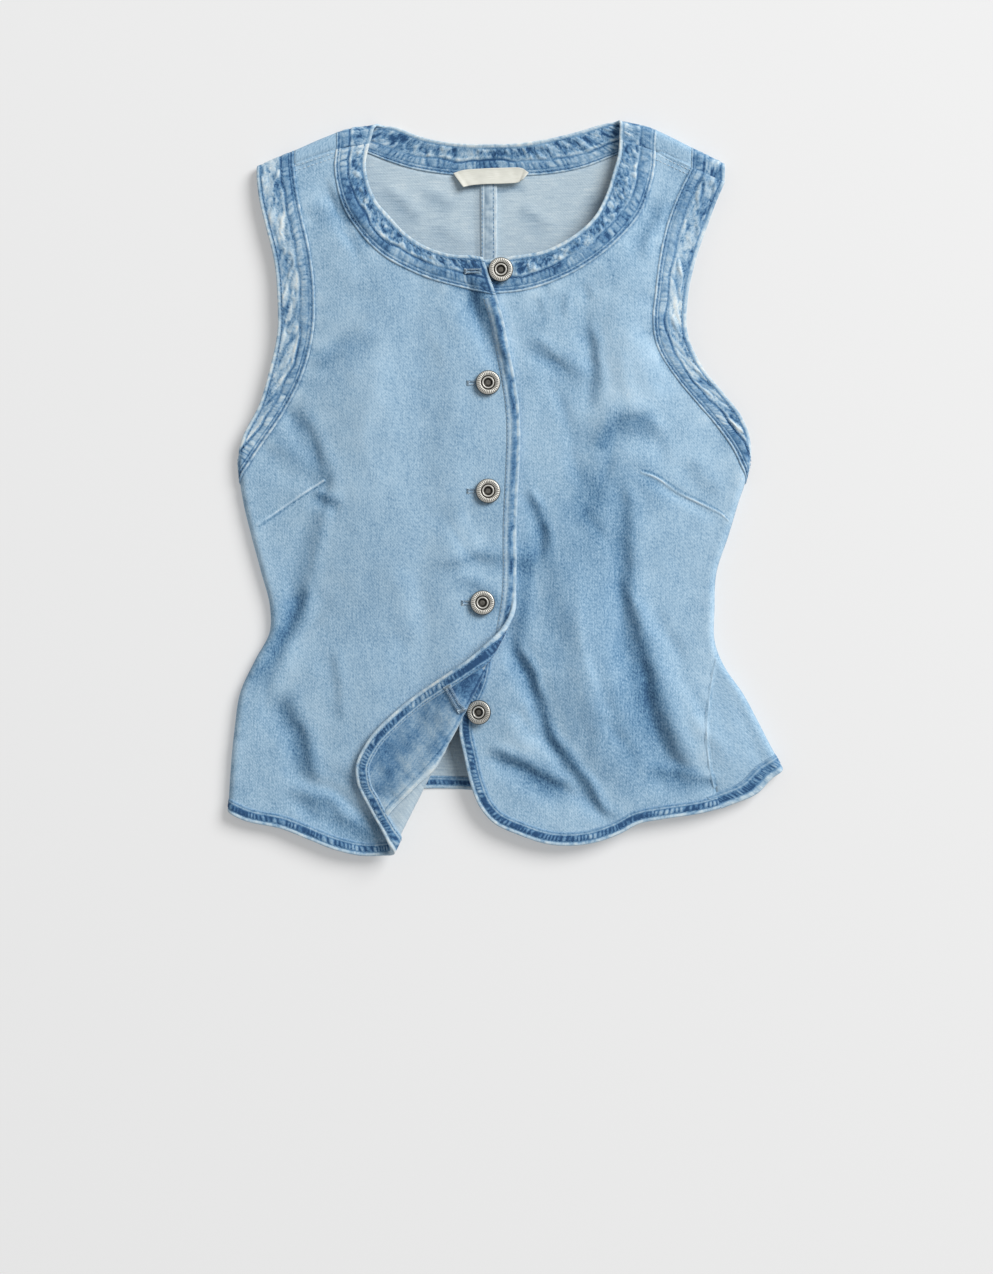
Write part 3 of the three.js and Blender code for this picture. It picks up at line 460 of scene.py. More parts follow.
def on_lower_front(x, y):
    side = np.where(x < 0, RIGHT, LEFT)
    start = fold_at(side, y) - ROLL
    past = side * x - start
    out, down = turned(past, ROLL)
    turning = past > 0
    across = np.where(turning, side * (start + out), x)
    height = np.where(turning, 2 * ROLL - down, front_height(x, y))
    return np.stack([across, y + 0 * x, height], axis=-1)


def past_flap(x, y):
    ax, ay, turn = FLAP_AXIS
    return (x - ax) * math.cos(turn) + (y - ay) * math.sin(turn)


def on_upper_front(x, y):
    """The buttoned front, raised over the lap, with its loose corner folded back."""
    past = past_flap(x, y) + CURL
    out, up = turned(past, CURL)
    back = np.where(past > 0, past - out, 0)
    turn = FLAP_AXIS[2]
    px, py = x - math.cos(turn) * back, y - math.sin(turn) * back
    place = on_lower_front(px, py)
    place[..., 2] += LAP * ease((px - LAP_FROM) / (LAP_TO - LAP_FROM))
    settled = ease((past - math.pi * CURL) / FLAP_SETTLE)
    place[..., 2] += np.where(past > 0, mix(up, FLAP_HOVER, settled), 0)
    return place


def on_back(x, y):
    """The back: flat on the surface, turning up at the side folds and the shoulder folds."""
    side = np.where(x < 0, RIGHT, LEFT)
    start = fold_at(side, y) - ROLL
    past = side * x - start
    out, up = turned(past, ROLL)
    across = np.where(past > 0, side * (start + out), x)
    wrapped = np.where(past > math.pi * ROLL, front_height(across, y), up)
    shoulder = shoulder_at(x) - ROLL
    past_shoulder = y - shoulder
    out_up, up_shoulder = turned(past_shoulder, ROLL)
    over = (past <= 0) & (past_shoulder > 0)
    along = np.where(over, shoulder + out_up, y + 0 * x)
    height = np.where(past > 0, wrapped, np.where(over, up_shoulder, 0))
    return np.stack([across, along, height], axis=-1)


def lay(to_space, x, y, lift):
    """Lays plan points in space, lifted along the cloth's normal."""
    step = NORMAL_STEP
    place = to_space(x, y)
    along_x = to_space(x + step, y) - to_space(x - step, y)
    along_y = to_space(x, y + step) - to_space(x, y - step)
    normal = np.cross(along_x, along_y)
    normal /= np.linalg.norm(normal, axis=-1, keepdims=True) + 1e-9
    place = place + normal * np.asarray(lift)[..., None]
    place[..., 2] = np.maximum(place[..., 2], FLOOR_GAP)
    return place


# Meshes

def mesh_object(name, places, faces, uv, wear_and_shade, materials, face_kinds):
    """A mesh in metres with its plan as UV map, and its wear together with painted shade and light as an
    attribute.
    """
    mesh = bpy.data.meshes.new(name)
    mesh.from_pydata((np.asarray(places) * MM).tolist(), [], faces)
    for material in materials:
        mesh.materials.append(material)
    mesh.polygons.foreach_set("material_index", np.asarray(face_kinds, np.int32))
    mesh.polygons.foreach_set("use_smooth", np.ones(len(faces), bool))
    corner = np.empty(len(mesh.loops), np.int32)
    mesh.loops.foreach_get("vertex_index", corner)
    plan = mesh.uv_layers.new(name="plan")
    plan.data.foreach_set("uv", (np.asarray(uv, float) * MM)[corner].astype(np.float32).ravel())
    faded = mesh.attributes.new("wear_and_shade", "FLOAT", "POINT")
    faded.data.foreach_set("value", np.asarray(wear_and_shade, np.float32))
    mesh.update()
    item = bpy.data.objects.new(name, mesh)
    bpy.context.scene.collection.objects.link(item)
    point_outwards(item)
    return item


def point_outwards(item):
    """Turns a closed mesh the right way out if its volume comes out negative."""
    mesh = item.data
    mesh.calc_loop_triangles()
    corners = np.empty(len(mesh.loop_triangles) * 3, np.int32)
    mesh.loop_triangles.foreach_get("vertices", corners)
    places = np.empty(len(mesh.vertices) * 3, np.float32)
    mesh.vertices.foreach_get("co", places)
    a, b, c = places.reshape(-1, 3)[corners.reshape(-1, 3)].transpose(1, 0, 2).astype(float)
    if np.einsum("ij,ij->", a, np.cross(b, c)) < 0:
        mesh.flip_normals()


def cloth_shell(name, to_space, x, y, top, bottom, materials, wear_and_shade, wear_and_shade_below=None, uv=None, rim=0.3):
    """A closed shell over a plan grid, with a rounded rim between its two faces."""
    rows, columns = x.shape
    top, bottom = top + 0 * x, bottom + 0 * x
    wear_and_shade = wear_and_shade + 0 * x
    wear_and_shade_below = wear_and_shade if wear_and_shade_below is None else wear_and_shade_below + 0 * x
    upper = lay(to_space, x, y, top).reshape(-1, 3)
    lower = lay(to_space, x, y, bottom).reshape(-1, 3)
    number = np.arange(rows * columns).reshape(rows, columns)
    border = np.concatenate(
        [number[0, :-1], number[:-1, -1], number[-1, :0:-1], number[:0:-1, 0]])
    j, i = np.divmod(border, columns)
    inner = (np.clip(j, 1, rows - 2), np.clip(i, 1, columns - 2))
    away_x, away_y = x[j, i] - x[inner], y[j, i] - y[inner]
    reach = np.hypot(away_x, away_y) + 1e-9
    rim_places = lay(
        to_space, x[j, i] + rim * away_x / reach, y[j, i] + rim * away_y / reach,
        (top[j, i] + bottom[j, i]) / 2)
    size = rows * columns
    quads = np.stack(
        [number[:-1, :-1], number[:-1, 1:], number[1:, 1:], number[1:, :-1]], axis=-1).reshape(-1, 4)
    ring = 2 * size + np.arange(len(border))
    next_border, next_ring = np.roll(border, -1), np.roll(ring, -1)
    upper_side = np.stack([next_border, border, ring, next_ring], axis=-1)
    lower_side = np.stack([next_ring, ring, border + size, next_border + size], axis=-1)
    faces = np.concatenate([quads, upper_side, lower_side, quads[:, ::-1] + size])
    kinds = np.zeros(len(faces), int)
    kinds[len(quads) + len(upper_side):] = len(materials) - 1
    plan = np.stack([x, y], axis=-1).reshape(-1, 2) if uv is None else uv.reshape(-1, 2)
    return mesh_object(
        name, np.concatenate([upper, lower, rim_places]), faces.tolist(),
        np.concatenate([plan, plan, plan[border]]),
        np.concatenate([wear_and_shade.ravel(), wear_and_shade_below.ravel(), wear_and_shade[j, i]]), materials, kinds)


def panel_points(edges, u, v):
    """Plan points blended between a panel's four edges."""
    below, above = trace(edges["bottom"], u), trace(edges["top"], u)
    left, right = trace(edges["outer"], v), trace(edges["inner"], v)
    corner = [[trace(edges[name], np.array(share)) for share in (0.0, 1.0)]
              for name in ("outer", "inner")]
    result = []
    for axis in (0, 1):
        low = mix(corner[0][0][axis], corner[1][0][axis], u)
        high = mix(corner[0][1][axis], corner[1][1][axis], u)
        result.append(mix(below[axis], above[axis], v) + mix(left[axis], right[axis], u)
                      - mix(low, high, v))
    return result


def panel_grid(edges, spacing):
    columns = int(PANEL_WIDTH / spacing / COARSE)
    rows = int(PANEL_HEIGHT / spacing / COARSE)
    u, v = np.meshgrid(np.linspace(0, 1, columns + 1), np.linspace(0, 1, rows + 1))
    return panel_points(edges, u, v)


class Path:
    """A plan line at even steps, with its length so far and its left-hand direction."""

    def __init__(self, points, step):
        x, y = trace([spread(points, 0, 1)], np.linspace(0, 1, PATH_SAMPLES))
        length = np.concatenate([[0], np.cumsum(np.hypot(np.diff(x), np.diff(y)))])
        self.s = np.linspace(0, length[-1], max(2, int(length[-1] / step)) + 1)
        self.x, self.y = np.interp(self.s, length, x), np.interp(self.s, length, y)
        along_x, along_y = np.gradient(self.x), np.gradient(self.y)
        reach = np.hypot(along_x, along_y) + 1e-9
        self.left = np.stack([-along_y / reach, along_x / reach], axis=-1)

    def beside(self, distance):
        return self.x + self.left[:, 0] * distance, self.y + self.left[:, 1] * distance


def near(path, x, y):
    """Distance of plan points from a path, and the path's length there."""
    distance, length = np.empty(x.shape), np.empty(x.shape)
    for j in range(x.shape[0]):
        away = np.hypot(x[j][:, None] - path.x[None, :], y[j][:, None] - path.y[None, :])
        nearest = away.argmin(axis=1)
        distance[j] = away[np.arange(len(nearest)), nearest]
        length[j] = path.s[nearest]
    return distance, length


def strip(name, to_space, path, side, across, lift, wear_and_shade, materials, uv=None):
    """A closed band of cloth along a path: each station is a loop of places across it, lifted."""
    stations, count = len(path.s), len(across)
    x = path.x[:, None] + side * path.left[:, 0:1] * across[None, :]
    y = path.y[:, None] + side * path.left[:, 1:2] * across[None, :]
    places = lay(to_space, x, y, lift)
    number = np.arange(stations * count).reshape(stations, count)
    after = np.roll(number, -1, axis=1)
    quads = np.stack([number[:-1], after[:-1], after[1:], number[1:]], axis=-1).reshape(-1, 4)
    faces = quads.tolist() + [number[0, ::-1].tolist(), number[-1].tolist()]
    if uv is None:
        uv = np.stack([path.s[:, None] + 0 * x, across[None, :] + 0 * x], axis=-1)
    return mesh_object(name, places.reshape(-1, 3), faces, uv.reshape(-1, 2), wear_and_shade.ravel(), materials,
                       np.zeros(len(faces), int))


# Relief and wear of sewn edges. s is the length along the edge and t the distance from it.

def roping(s, t, pitch, seed):
    """Slanted blocks of a sewn edge that has shrunk along its thread: 1 on a block, 0 in a slit."""
    phase = (s + 0.3 * t) / pitch + 0.9 * hills(s, t * 0.3, 11, seed)
    block = np.abs(np.cos(math.pi * phase)) ** 0.75
    return block * (0.72 + 0.28 * hills(s, t, 5, seed + 1))


def hem_relief(s, t, seed, strength=1.0, width=HEM_WIDTH, faced=0.0):
    """Turned and sewn edge: worn rim, roped middle and a double row of stitches at its inner side.

    Where faced is 1 the edge is backed by a facing: a broad rim, a ragged dark line and one row."""
    inside = ease((width - t) / 1.6)
    block = roping(s, t, 3.4, seed)
    patch = hills(s, t * 2, 12, seed + 3)
    small = hills(s, t, 3.2, seed + 4)
    middle = ease((t - 2.1) / 0.6) * ease((width - 3.1 - t) / 0.7)
    rim = ease((2.0 - t) / 0.8) * (0.75 + 0.45 * small)
    outer_groove = bump((t - 2.2) / 0.5)
    inner_groove = inside * (bump((t - width + 1.1) / 0.5) + bump((t - width + 3.1) / 0.5))
    double_row = bump((t - width + 2.1) / 0.5)
    roped = strength * (0.36 * middle * block - 0.3 * outer_groove)
    lift = inside * (0.42 + roped + 0.12 * double_row)
    lift = lift - 0.22 * inner_groove + 0.1 * small * inside
    turned_wear = ((0.65 + 0.5 * strength) * rim + 0.35 * small * inside
                   + strength * (middle * (2.8 * block - 2.65 + 0.75 * patch) + 0.45 * double_row
                                 - 1.0 * outer_groove * (0.75 + 0.4 * small) - 1.15 * inner_groove)
                   + 0.5 * (1 - strength) * middle)
    ragged = bump((t - 3.6 - 0.9 * small) / 1.8)
    ragged = ragged * np.clip(0.55 + 0.5 * block + 0.8 * patch, 0.2, 1.4)
    faced_wear = ((0.75 + 0.4 * small) * ease((2.3 - t) / 0.6) - 1.15 * ragged
                  + 0.4 * ease((t - 4.6) / 1.6) + 0.3 * small * inside
                  + 0.3 * bump((t - 6.6) / 0.5) - 0.15 * bump((t - width + 0.9) / 0.5))
    return lift, mix(turned_wear, faced_wear, faced)


# How the cloth between a band's creases runs: noise steps along and across for each direction of
# the band, and the dye worn off there
BAND_CREASES = {
    "neck": ((0.75, 0.4), (-0.4, 0.85), -0.1),
    "back_neck": ((0.95, 0.25), (0.1, 0.5), -0.05),
    "right_arm": ((0.3, 0.16), (0.22, 1.0), 1.2),
    "left_arm": ((0.3, 0.16), (0.22, 1.0), 0.75),
}


def band_relief(s, t, width, seed, kind):
    """Two-layer band: piped seam, roped row, wavy crease, creased cloth and a worn free edge."""
    (along_s, along_t), (across_s, across_t), tone = BAND_CREASES[kind]
    slant = 0.3 + 0.5 * hills(s, 0 * s, 26, seed + 4)
    phase = (s + slant * t) / 4.4 + 1.2 * hills(s, t * 0.2, 12, seed)
    block = np.abs(np.cos(math.pi * phase)) ** 0.5
    fades = ease(0.75 + 0.9 * hills(s, 0 * s, 17, seed + 5))
    block_tone = 0.7 * hills(np.round(phase) * 4.7, 0.4 * t, 5, seed + 1)
    small = hills(s, t, 2.6, seed + 10)
    wander = (9.9 if kind.endswith("arm") else 10.8) + 1.4 * hills(s, 0 * s, 15, seed + 2)
    strength = np.clip(0.85 + 0.6 * hills(s, 0 * s, 30, seed + 3), 0.2, 1.1)
    piping = bump((t - 0.9) / 0.8)
    groove = bump((t - 2.3) / 0.6) + 0.7 * bump((t - 4.3) / 0.5)
    second = 0.8 * bump((t - 3.4) / 0.5)
    row = ease((t - 4.4) / 0.6) * ease((wander - 0.5 - t) / 0.7)
    crease = bump((t - wander) / 0.75) * strength
    beside = bump((t - wander - 2.0) / 1.1) * strength
    zone = ease((t - wander - 0.6) / 1.6) * ease((width - 2.6 - t) / 1.2)
    lines, height, cells = 0, 0, 0
    for size, share in ((5.2, 1.0), (3.0, 0.9), (1.9, 0.6)):
        a, b = s * along_s + t * along_t, s * across_s + t * across_t
        wave = hills(a, b, size, seed + size)
        lines = np.maximum(lines, share * bump(wave / 0.11))
        height = height + share * wave
        cells = cells + share * hills(a, b, size * 0.9, seed + size + 1)
    free_groove = bump((t - width + 2.7) / 0.5)
    free_edge = ease((t - width + 2.1) / 0.8)
    patch = hills(s, t, 18, seed + 8)
    lift = (0.5 * (piping + second) - 0.35 * groove + 0.4 * row * block - 0.4 * crease + 0.3 * beside
            + zone * (0.4 * np.abs(height) + 0.25 * height - 0.5 * lines)
            - 0.25 * free_groove + 0.12 * free_edge + 0.1 * small)
    wear_and_shade = ((0.95 + 0.5 * small) * (piping + 0.8 * second) - 1.3 * groove
            + row * (fades * (1.9 * block - 1.65) - 0.3 * (1 - fades) + block * block_tone + 0.5 * tone)
            - 1.7 * crease + 0.9 * beside + zone * (0.7 * cells - 1.35 * lines + 0.45 * height + tone)
            - 1.0 * free_groove * (0.7 + 0.5 * small) + free_edge * (1.2 + 0.5 * small)
            + 0.35 * small + 0.4 * patch)
    return lift, wear_and_shade


# Materials

def linear(hex_colour):
    """Linear colour of an sRGB hex value."""
    values = [int(hex_colour[k:k + 2], 16) / 255 for k in (1, 3, 5)]
    return [v / 12.92 if v <= 0.04045 else ((v + 0.055) / 1.055) ** 2.4 for v in values] + [1.0]


def put(tree, kind, links=None, **settings):
    """Adds a node with its settings, input values and links, and returns its first output."""
    item = tree.nodes.new(kind)
    for name, value in settings.items():
        setattr(item, name, value)
    for name, source in (links or {}).items():
        if isinstance(source, bpy.types.NodeSocket):
            tree.links.new(source, item.inputs[name])
        else:
            item.inputs[name].default_value = source
    return next((socket for socket in item.outputs if socket.enabled), None)


def new_material(name):
    material = bpy.data.materials.new(name)
    material.use_nodes = True
    material.node_tree.nodes.clear()
    return material, material.node_tree


def ramp(tree, factor, stops):
    """Colour that runs through hex stops as the factor goes from 0 to 1."""
    colour = put(tree, "ShaderNodeValToRGB", {"Fac": factor})
    elements = colour.node.color_ramp.elements
    while len(elements) < len(stops):
        elements.new(0.5)
    for element, (place, hex_colour) in zip(elements, stops):
        element.position = place
        element.color = linear(hex_colour)
    return colour


def thread_noise(tree, plan, width, length, detail, turn=0.0):
    """Noise whose grains are that wide and long in millimetres on the cloth's plan."""
    placed = put(tree, "ShaderNodeMapping", {
        "Vector": plan, "Rotation": (0, 0, turn),
        "Scale": (1 / (width * MM), 1 / (length * MM), 1)})
    return put(tree, "ShaderNodeTexNoise", {
        "Vector": placed, "Scale": 1.0, "Detail": detail, "Roughness": 0.6})


def denim(name, stops, base, wear_and_shade_gain, streak, grain, blotch, crinkle=0.0, across=False):
    """Washed cotton denim, woven as a warp-faced twill: fine streaks run with the warp, pale slubs
    and grains show the white weft, and a per-point value pales it where the dye is worn off ridges
    and darkens it where dye is kept in grooves and where shade is painted in."""
    material, tree = new_material(name)
    plan = put(tree, "ShaderNodeUVMap", uv_map="plan")
    long, wide = (14, 1.1)
    streaks = thread_noise(tree, plan, *((long, wide) if across else (wide, long)), 3)
    # Real grains are the 0.45 mm yarns; they are drawn 1.1 mm wide so that they show
    grains = thread_noise(tree, plan, 1.1, 1.8, 2, 0.3)
    # Crinkles set by the wash in layers that are sewn together, 2 to 4 mm across
    crinkles = thread_noise(tree, plan, 3.6, 2.2, 2, 0.3)
    crinkles.node.inputs["Distortion"].default_value = 1.4
    blotches = thread_noise(tree, plan, 9, 17, 3, 0.2)
    # Per-point wear, with the painted shade and light of folds, creases and seams
    wear_and_shade = put(tree, "ShaderNodeAttribute", attribute_name="wear_and_shade").node.outputs["Fac"]
    factor = base
    for source, gain in ((wear_and_shade, wear_and_shade_gain), (streaks, streak), (grains, grain),
                         (blotches, blotch), (crinkles, crinkle)):
        factor = put(tree, "ShaderNodeMath", {0: source, 1: gain, 2: factor}, operation="MULTIPLY_ADD")
    factor = put(tree, "ShaderNodeMath", {0: factor, 1: (streak + grain + blotch + crinkle) / 2},
                 operation="SUBTRACT", use_clamp=True)
    # Twill lines lie 0.5 mm apart; they are drawn 1.4 mm apart
    twill = put(tree, "ShaderNodeTexWave", {
        "Vector": plan, "Scale": 0.444 / (1.4 * MM), "Distortion": 2.0, "Detail": 1.0},
        bands_direction="DIAGONAL")
    relief = put(tree, "ShaderNodeMath", {0: twill.node.outputs["Fac"], 1: 0.35, 2: grains},
                 operation="MULTIPLY_ADD")
    normal = put(tree, "ShaderNodeBump", {
        "Height": relief, "Strength": 0.35, "Distance": 0.3 * MM})
    shader = put(tree, "ShaderNodeBsdfPrincipled", {
        "Base Color": ramp(tree, factor, stops), "Roughness": 0.9, "Normal": normal,
        "Specular IOR Level": 0.2, "Sheen Weight": 0.08, "Sheen Roughness": 0.5})
    put(tree, "ShaderNodeOutputMaterial", {"Surface": shader})
    return material


# One dye from bare weft to deep indigo
INDIGO = [(0.0, "#2C5078"), (0.2, "#557FA5"), (0.42, "#86A7C2"), (0.6, "#A8C1D3"),
          (0.8, "#C2D4DF"), (1.0, "#DCE4E5")]
# The same where the wash has worn it evenly
WASHED = [(0.0, "#33587D"), (0.2, "#5C85A7"), (0.42, "#88AAC5"), (0.6, "#A3C1D7"), (0.8, "#B6D0E3"),
          (1.0, "#D4E3EC")]
INSIDE = [(0.0, "#8199AD"), (0.35, "#A3B8C7"), (0.65, "#B9CBD6"), (1.0, "#D5E0E5")]


def cloth_materials():
    """The finishes of the cloth, made once."""
    if "denim_washed_twill" not in bpy.data.materials:
        denim("denim_washed_twill", WASHED, 0.53, 0.24, 0.40, 0.85, 0.22, 0.24)
        denim("denim_sewn_bands", INDIGO, 0.42, 0.26, 0.16, 0.40, 0.15, 0.45)
        denim("denim_facing_twill", INDIGO, 0.38, 0.26, 0.30, 0.60, 0.20, 0.25)
        denim("denim_weft_side", INSIDE, 0.58, 0.22, 1.0, 0.60, 0.30, across=True)
    return [bpy.data.materials[name] for name in (
        "denim_washed_twill", "denim_sewn_bands", "denim_facing_twill", "denim_weft_side")]


def thread_material(name, colour, glint):
    """Spun polyester sewing thread: matt, with a faint sheen and a twist too fine to draw."""
    material, tree = new_material(name)
    place = put(tree, "ShaderNodeTexCoord").node.outputs["Object"]
    uneven = put(tree, "ShaderNodeTexNoise", {"Vector": place, "Scale": 1 / (3 * MM), "Detail": 2.0})
    low, high = colour
    shader = put(tree, "ShaderNodeBsdfPrincipled", {
        "Base Color": ramp(tree, uneven, [(0.3, low), (0.7, high)]), "Roughness": 0.7,
        "Sheen Weight": glint, "Specular IOR Level": 0.3})
    put(tree, "ShaderNodeOutputMaterial", {"Surface": shader})
    return material


def satin_tape():
    """Woven satin tape in cream polyester: fine level ribs with a soft sheen across them."""
    material, tree = new_material("tape_cream_satin")
    plan = put(tree, "ShaderNodeUVMap", uv_map="plan")
    ribs = thread_noise(tree, plan, 6, 0.35, 2)
    wear_and_shade = put(tree, "ShaderNodeAttribute", attribute_name="wear_and_shade").node.outputs["Fac"]
    shade = put(tree, "ShaderNodeMath", {0: wear_and_shade, 1: 0.5, 2: ribs}, operation="MULTIPLY_ADD")
    normal = put(tree, "ShaderNodeBump", {"Height": ribs, "Strength": 0.3, "Distance": 0.15 * MM})
    shader = put(tree, "ShaderNodeBsdfPrincipled", {
        "Base Color": ramp(tree, shade, [(0.0, "#A09E90"), (0.45, "#CBCBC0"), (1.0, "#E3E3DA")]),
        "Roughness": 0.45, "Sheen Weight": 0.3, "Normal": normal})
    put(tree, "ShaderNodeOutputMaterial", {"Surface": shader})
    return material


def antique_metal():
    """Die-struck brass with an antique nickel plating: dark oxide stays in the recesses and is
    rubbed off the raised rim and ring."""
    material, tree = new_material("metal_antique_nickel")
    place = put(tree, "ShaderNodeTexCoord").node.outputs["Object"]
    rubbed = put(tree, "ShaderNodeTexNoise", {"Vector": place, "Scale": 1 / (1.6 * MM), "Detail": 3.0})
    wear_and_shade = put(tree, "ShaderNodeAttribute", attribute_name="wear_and_shade").node.outputs["Fac"]
    shade = put(tree, "ShaderNodeMath", {0: rubbed, 1: 0.35, 2: wear_and_shade}, operation="MULTIPLY_ADD")
    shade = put(tree, "ShaderNodeMath", {0: shade, 1: 0.17}, operation="SUBTRACT", use_clamp=True)
    normal = put(tree, "ShaderNodeBump", {"Height": rubbed, "Strength": 0.15, "Distance": 0.1 * MM})
    shader = put(tree, "ShaderNodeBsdfPrincipled", {
        "Base Color": ramp(tree, shade, [(0.0, "#1E1B18"), (0.35, "#7D7A73"), (0.65, "#BBB9B1"),
                                         (1.0, "#E6E4DD")]),
        "Metallic": 0.55, "Roughness": 0.42, "Normal": normal})
    put(tree, "ShaderNodeOutputMaterial", {"Surface": shader})
    return material


# Edges of the pieces, worked out from the tables

def apex(side, y):
    return side * (fold_at(side, y) + (math.pi / 2 - 1) * ROLL)


def seam_on_fold(side, heights):
    return [(float(apex(side, y)) - side * SEAM_GAP / 2, y) for y in heights]


SIDE_SEAM = {
    RIGHT: seam_on_fold(RIGHT, [-233, -211, -173, -148, -124, -105, -87, -61, -35, -10, 2]),
    LEFT: [(156, -231), (148.5, -198), (147, -176), (148.5, -156), (151, -138), (154.5, -122)]
          + seam_on_fold(LEFT, [-104, -87, -61, -35, -10, 2]),
}
for each_side in (RIGHT, LEFT):
    ARMHOLE[each_side][0] = SIDE_SEAM[each_side][-1]
HEM[RIGHT][0] = (SIDE_SEAM[RIGHT][0][0], -233)
# Where the left side seam comes out from under the hem
ABOVE_HEM = (152.8, -219)


def front_edges(side):
    return {
        "bottom": [spread(HEM[side], 0, 1)],
        "top": [spread([ARMHOLE[side][-1], NECK[side][-1]], 0, 1)],
        "outer": [spread(SIDE_SEAM[side], 0, UNDERARM), spread(ARMHOLE[side], UNDERARM, 1)],
        "inner": [spread(FRONT_EDGE[side], 0, NECK_CORNER), spread(NECK[side], NECK_CORNER, 1)],
    }


def back_arm_seam(side):
    """Armhole seam of the back, from the underarm over the shoulder fold."""
    start_x, start_y = SIDE_SEAM[side][-1]
    end_x, end_y = ARMHOLE[side][-1]
    start = (float(round_side(side, start_x, start_y)) - side * SEAM_GAP, start_y)
    on_fold = (end_x, float(shoulder_at(end_x)) - 8)
    return [start, *ARMHOLE[side][1:-1], on_fold, over_fold(end_x, end_y)]


def back_arm_free(side):
    """Free edge of the back's armhole band, 1 mm nearer the middle than the front's."""
    end_x, end_y = ARM_FREE[side][-1]
    free = [(px - side, py) for px, py in ARM_FREE[side][:-1]]
    return free + [(end_x, float(shoulder_at(end_x)) - 6), over_fold(end_x, end_y)]


def back_neck_lines():
    """Seam and free edge of the back neckband, from the right shoulder to the left one."""
    seam = [over_fold(*NECK[RIGHT][-1]), *BACK_NECK[RIGHT], (BAND_CENTRE, CENTRE_NECK_Y),
            *BACK_NECK[LEFT][::-1], over_fold(*NECK[LEFT][-1])]
    free = [over_fold(*NECK_FREE[RIGHT][-1]), *BACK_NECK_FREE[RIGHT], (BAND_CENTRE, CENTRE_FREE_Y),
            *BACK_NECK_FREE[LEFT][::-1], over_fold(*NECK_FREE[LEFT][-1])]
    return seam, free


def back_edges(side):
    centre = CENTRE_BACK if side == RIGHT else CENTRE_BACK - FELL_WIDTH + SEAM_GAP
    share = np.linspace(0, UNDERARM, 60)
    x, y = trace([spread(SIDE_SEAM[side], 0, UNDERARM)], share)
    seam = np.column_stack([round_side(side, x, y) - side * SEAM_GAP, y, share])
    wrapped = [(float(round_side(side, px, py)), py) for px, py in BACK_HEM_WRAP[side]]
    hem = [tuple(seam[0, :2]), *wrapped, *BACK_HEM[side], (centre, CENTRE_HEM_Y)]
    arm_end, neck_end = over_fold(*ARMHOLE[side][-1]), over_fold(*NECK[side][-1])
    neck = [neck_end, *BACK_NECK[side], (centre, CENTRE_NECK_Y)]
    return {
        "bottom": [spread(hem, 0, 1)],
        "top": [spread([arm_end, neck_end], 0, SHOULDER_SHARE), spread(neck, SHOULDER_SHARE, 1)],
        "outer": [seam, spread(back_arm_seam(side), UNDERARM, 1)],
        "inner": [spread([(centre, CENTRE_HEM_Y), (centre, CENTRE_NECK_Y)], 0, 1)],
    }


def plan_area(x, y):
    """Area of a plan grid in square metres."""
    ax, ay = x[1:, 1:] - x[:-1, :-1], y[1:, 1:] - y[:-1, :-1]
    bx, by = x[1:, :-1] - x[:-1, 1:], y[1:, :-1] - y[:-1, 1:]
    return float(np.abs(ax * by - ay * bx).sum() / 2) * MM * MM


def declare_sheet(item, x, y, with_pieces=()):
    flat = (float(np.ptp(x)) * MM, float(np.ptp(y)) * MM)
    plan_area(x, y)


def settle(item, slot, *nodes):
    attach(item, "root")
    if nodes:
        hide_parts(*nodes)
    return item


def seam_marks(x, y, seams, seed):
    """Puckers where a panel meets its seams, and a painted shadow line right beside each seam."""
    lift, wear_and_shade = 0 * x, 0 * x
    # Puckers about 7 long that fade out over 11 from the seam, and a painted shadow line right beside it
    for number, path in enumerate(seams):
        distance, length = near(path, x, y)
        pucker = hills(length, distance * 0.3, 7.0, seed + number) * bump(distance / 11)
        lift = lift + 0.26 * pucker * ease(distance / 2)
        wear_and_shade = wear_and_shade + 0.55 * pucker - 0.9 * bump(distance / 1.1) + 0.2 * bump((distance - 4) / 3)
    return lift, wear_and_shade


# Painted shade and light of the folds: crease valleys darker and swells paler, partly dye kept in the
# creases, the painted tones of the fold table, and a random tone
def fold_shade_and_wear(x, y):
    creases = np.clip(0.32 * crease_detail(x, y) + 0.07 * crease_sum(x, y, CREASES), -1, 0.35)
    return creases + shade_sum(x, y, SHADES)[1] + 0.14 * hills(x, y, 34, 7) + 0.12 * hills(x, y, 13, 8)


def make_front(side, sizes):
    outer, _, _, weft = cloth_materials()
    name = "right" if side == RIGHT else "left"
    to_space = on_upper_front if side == RIGHT else on_lower_front
    x, y = panel_grid(front_edges(side), sizes.spacing / MM)
    seams = [Path(seam[side], SEAM_PATH_STEP) for seam in (NECK, ARMHOLE, SIDE_SEAM)]
    lift, wear_and_shade = seam_marks(x, y, seams, seed=20 + side)
    item = cloth_shell(
        f"front_{name}_cloth", to_space, x, y, lift, -sizes.thickness / MM, [outer, weft],
        wear_and_shade + fold_shade_and_wear(x, y), wear_and_shade_below=0)
    settle(item, "denim", f"front_{name}")
    return item, x, y


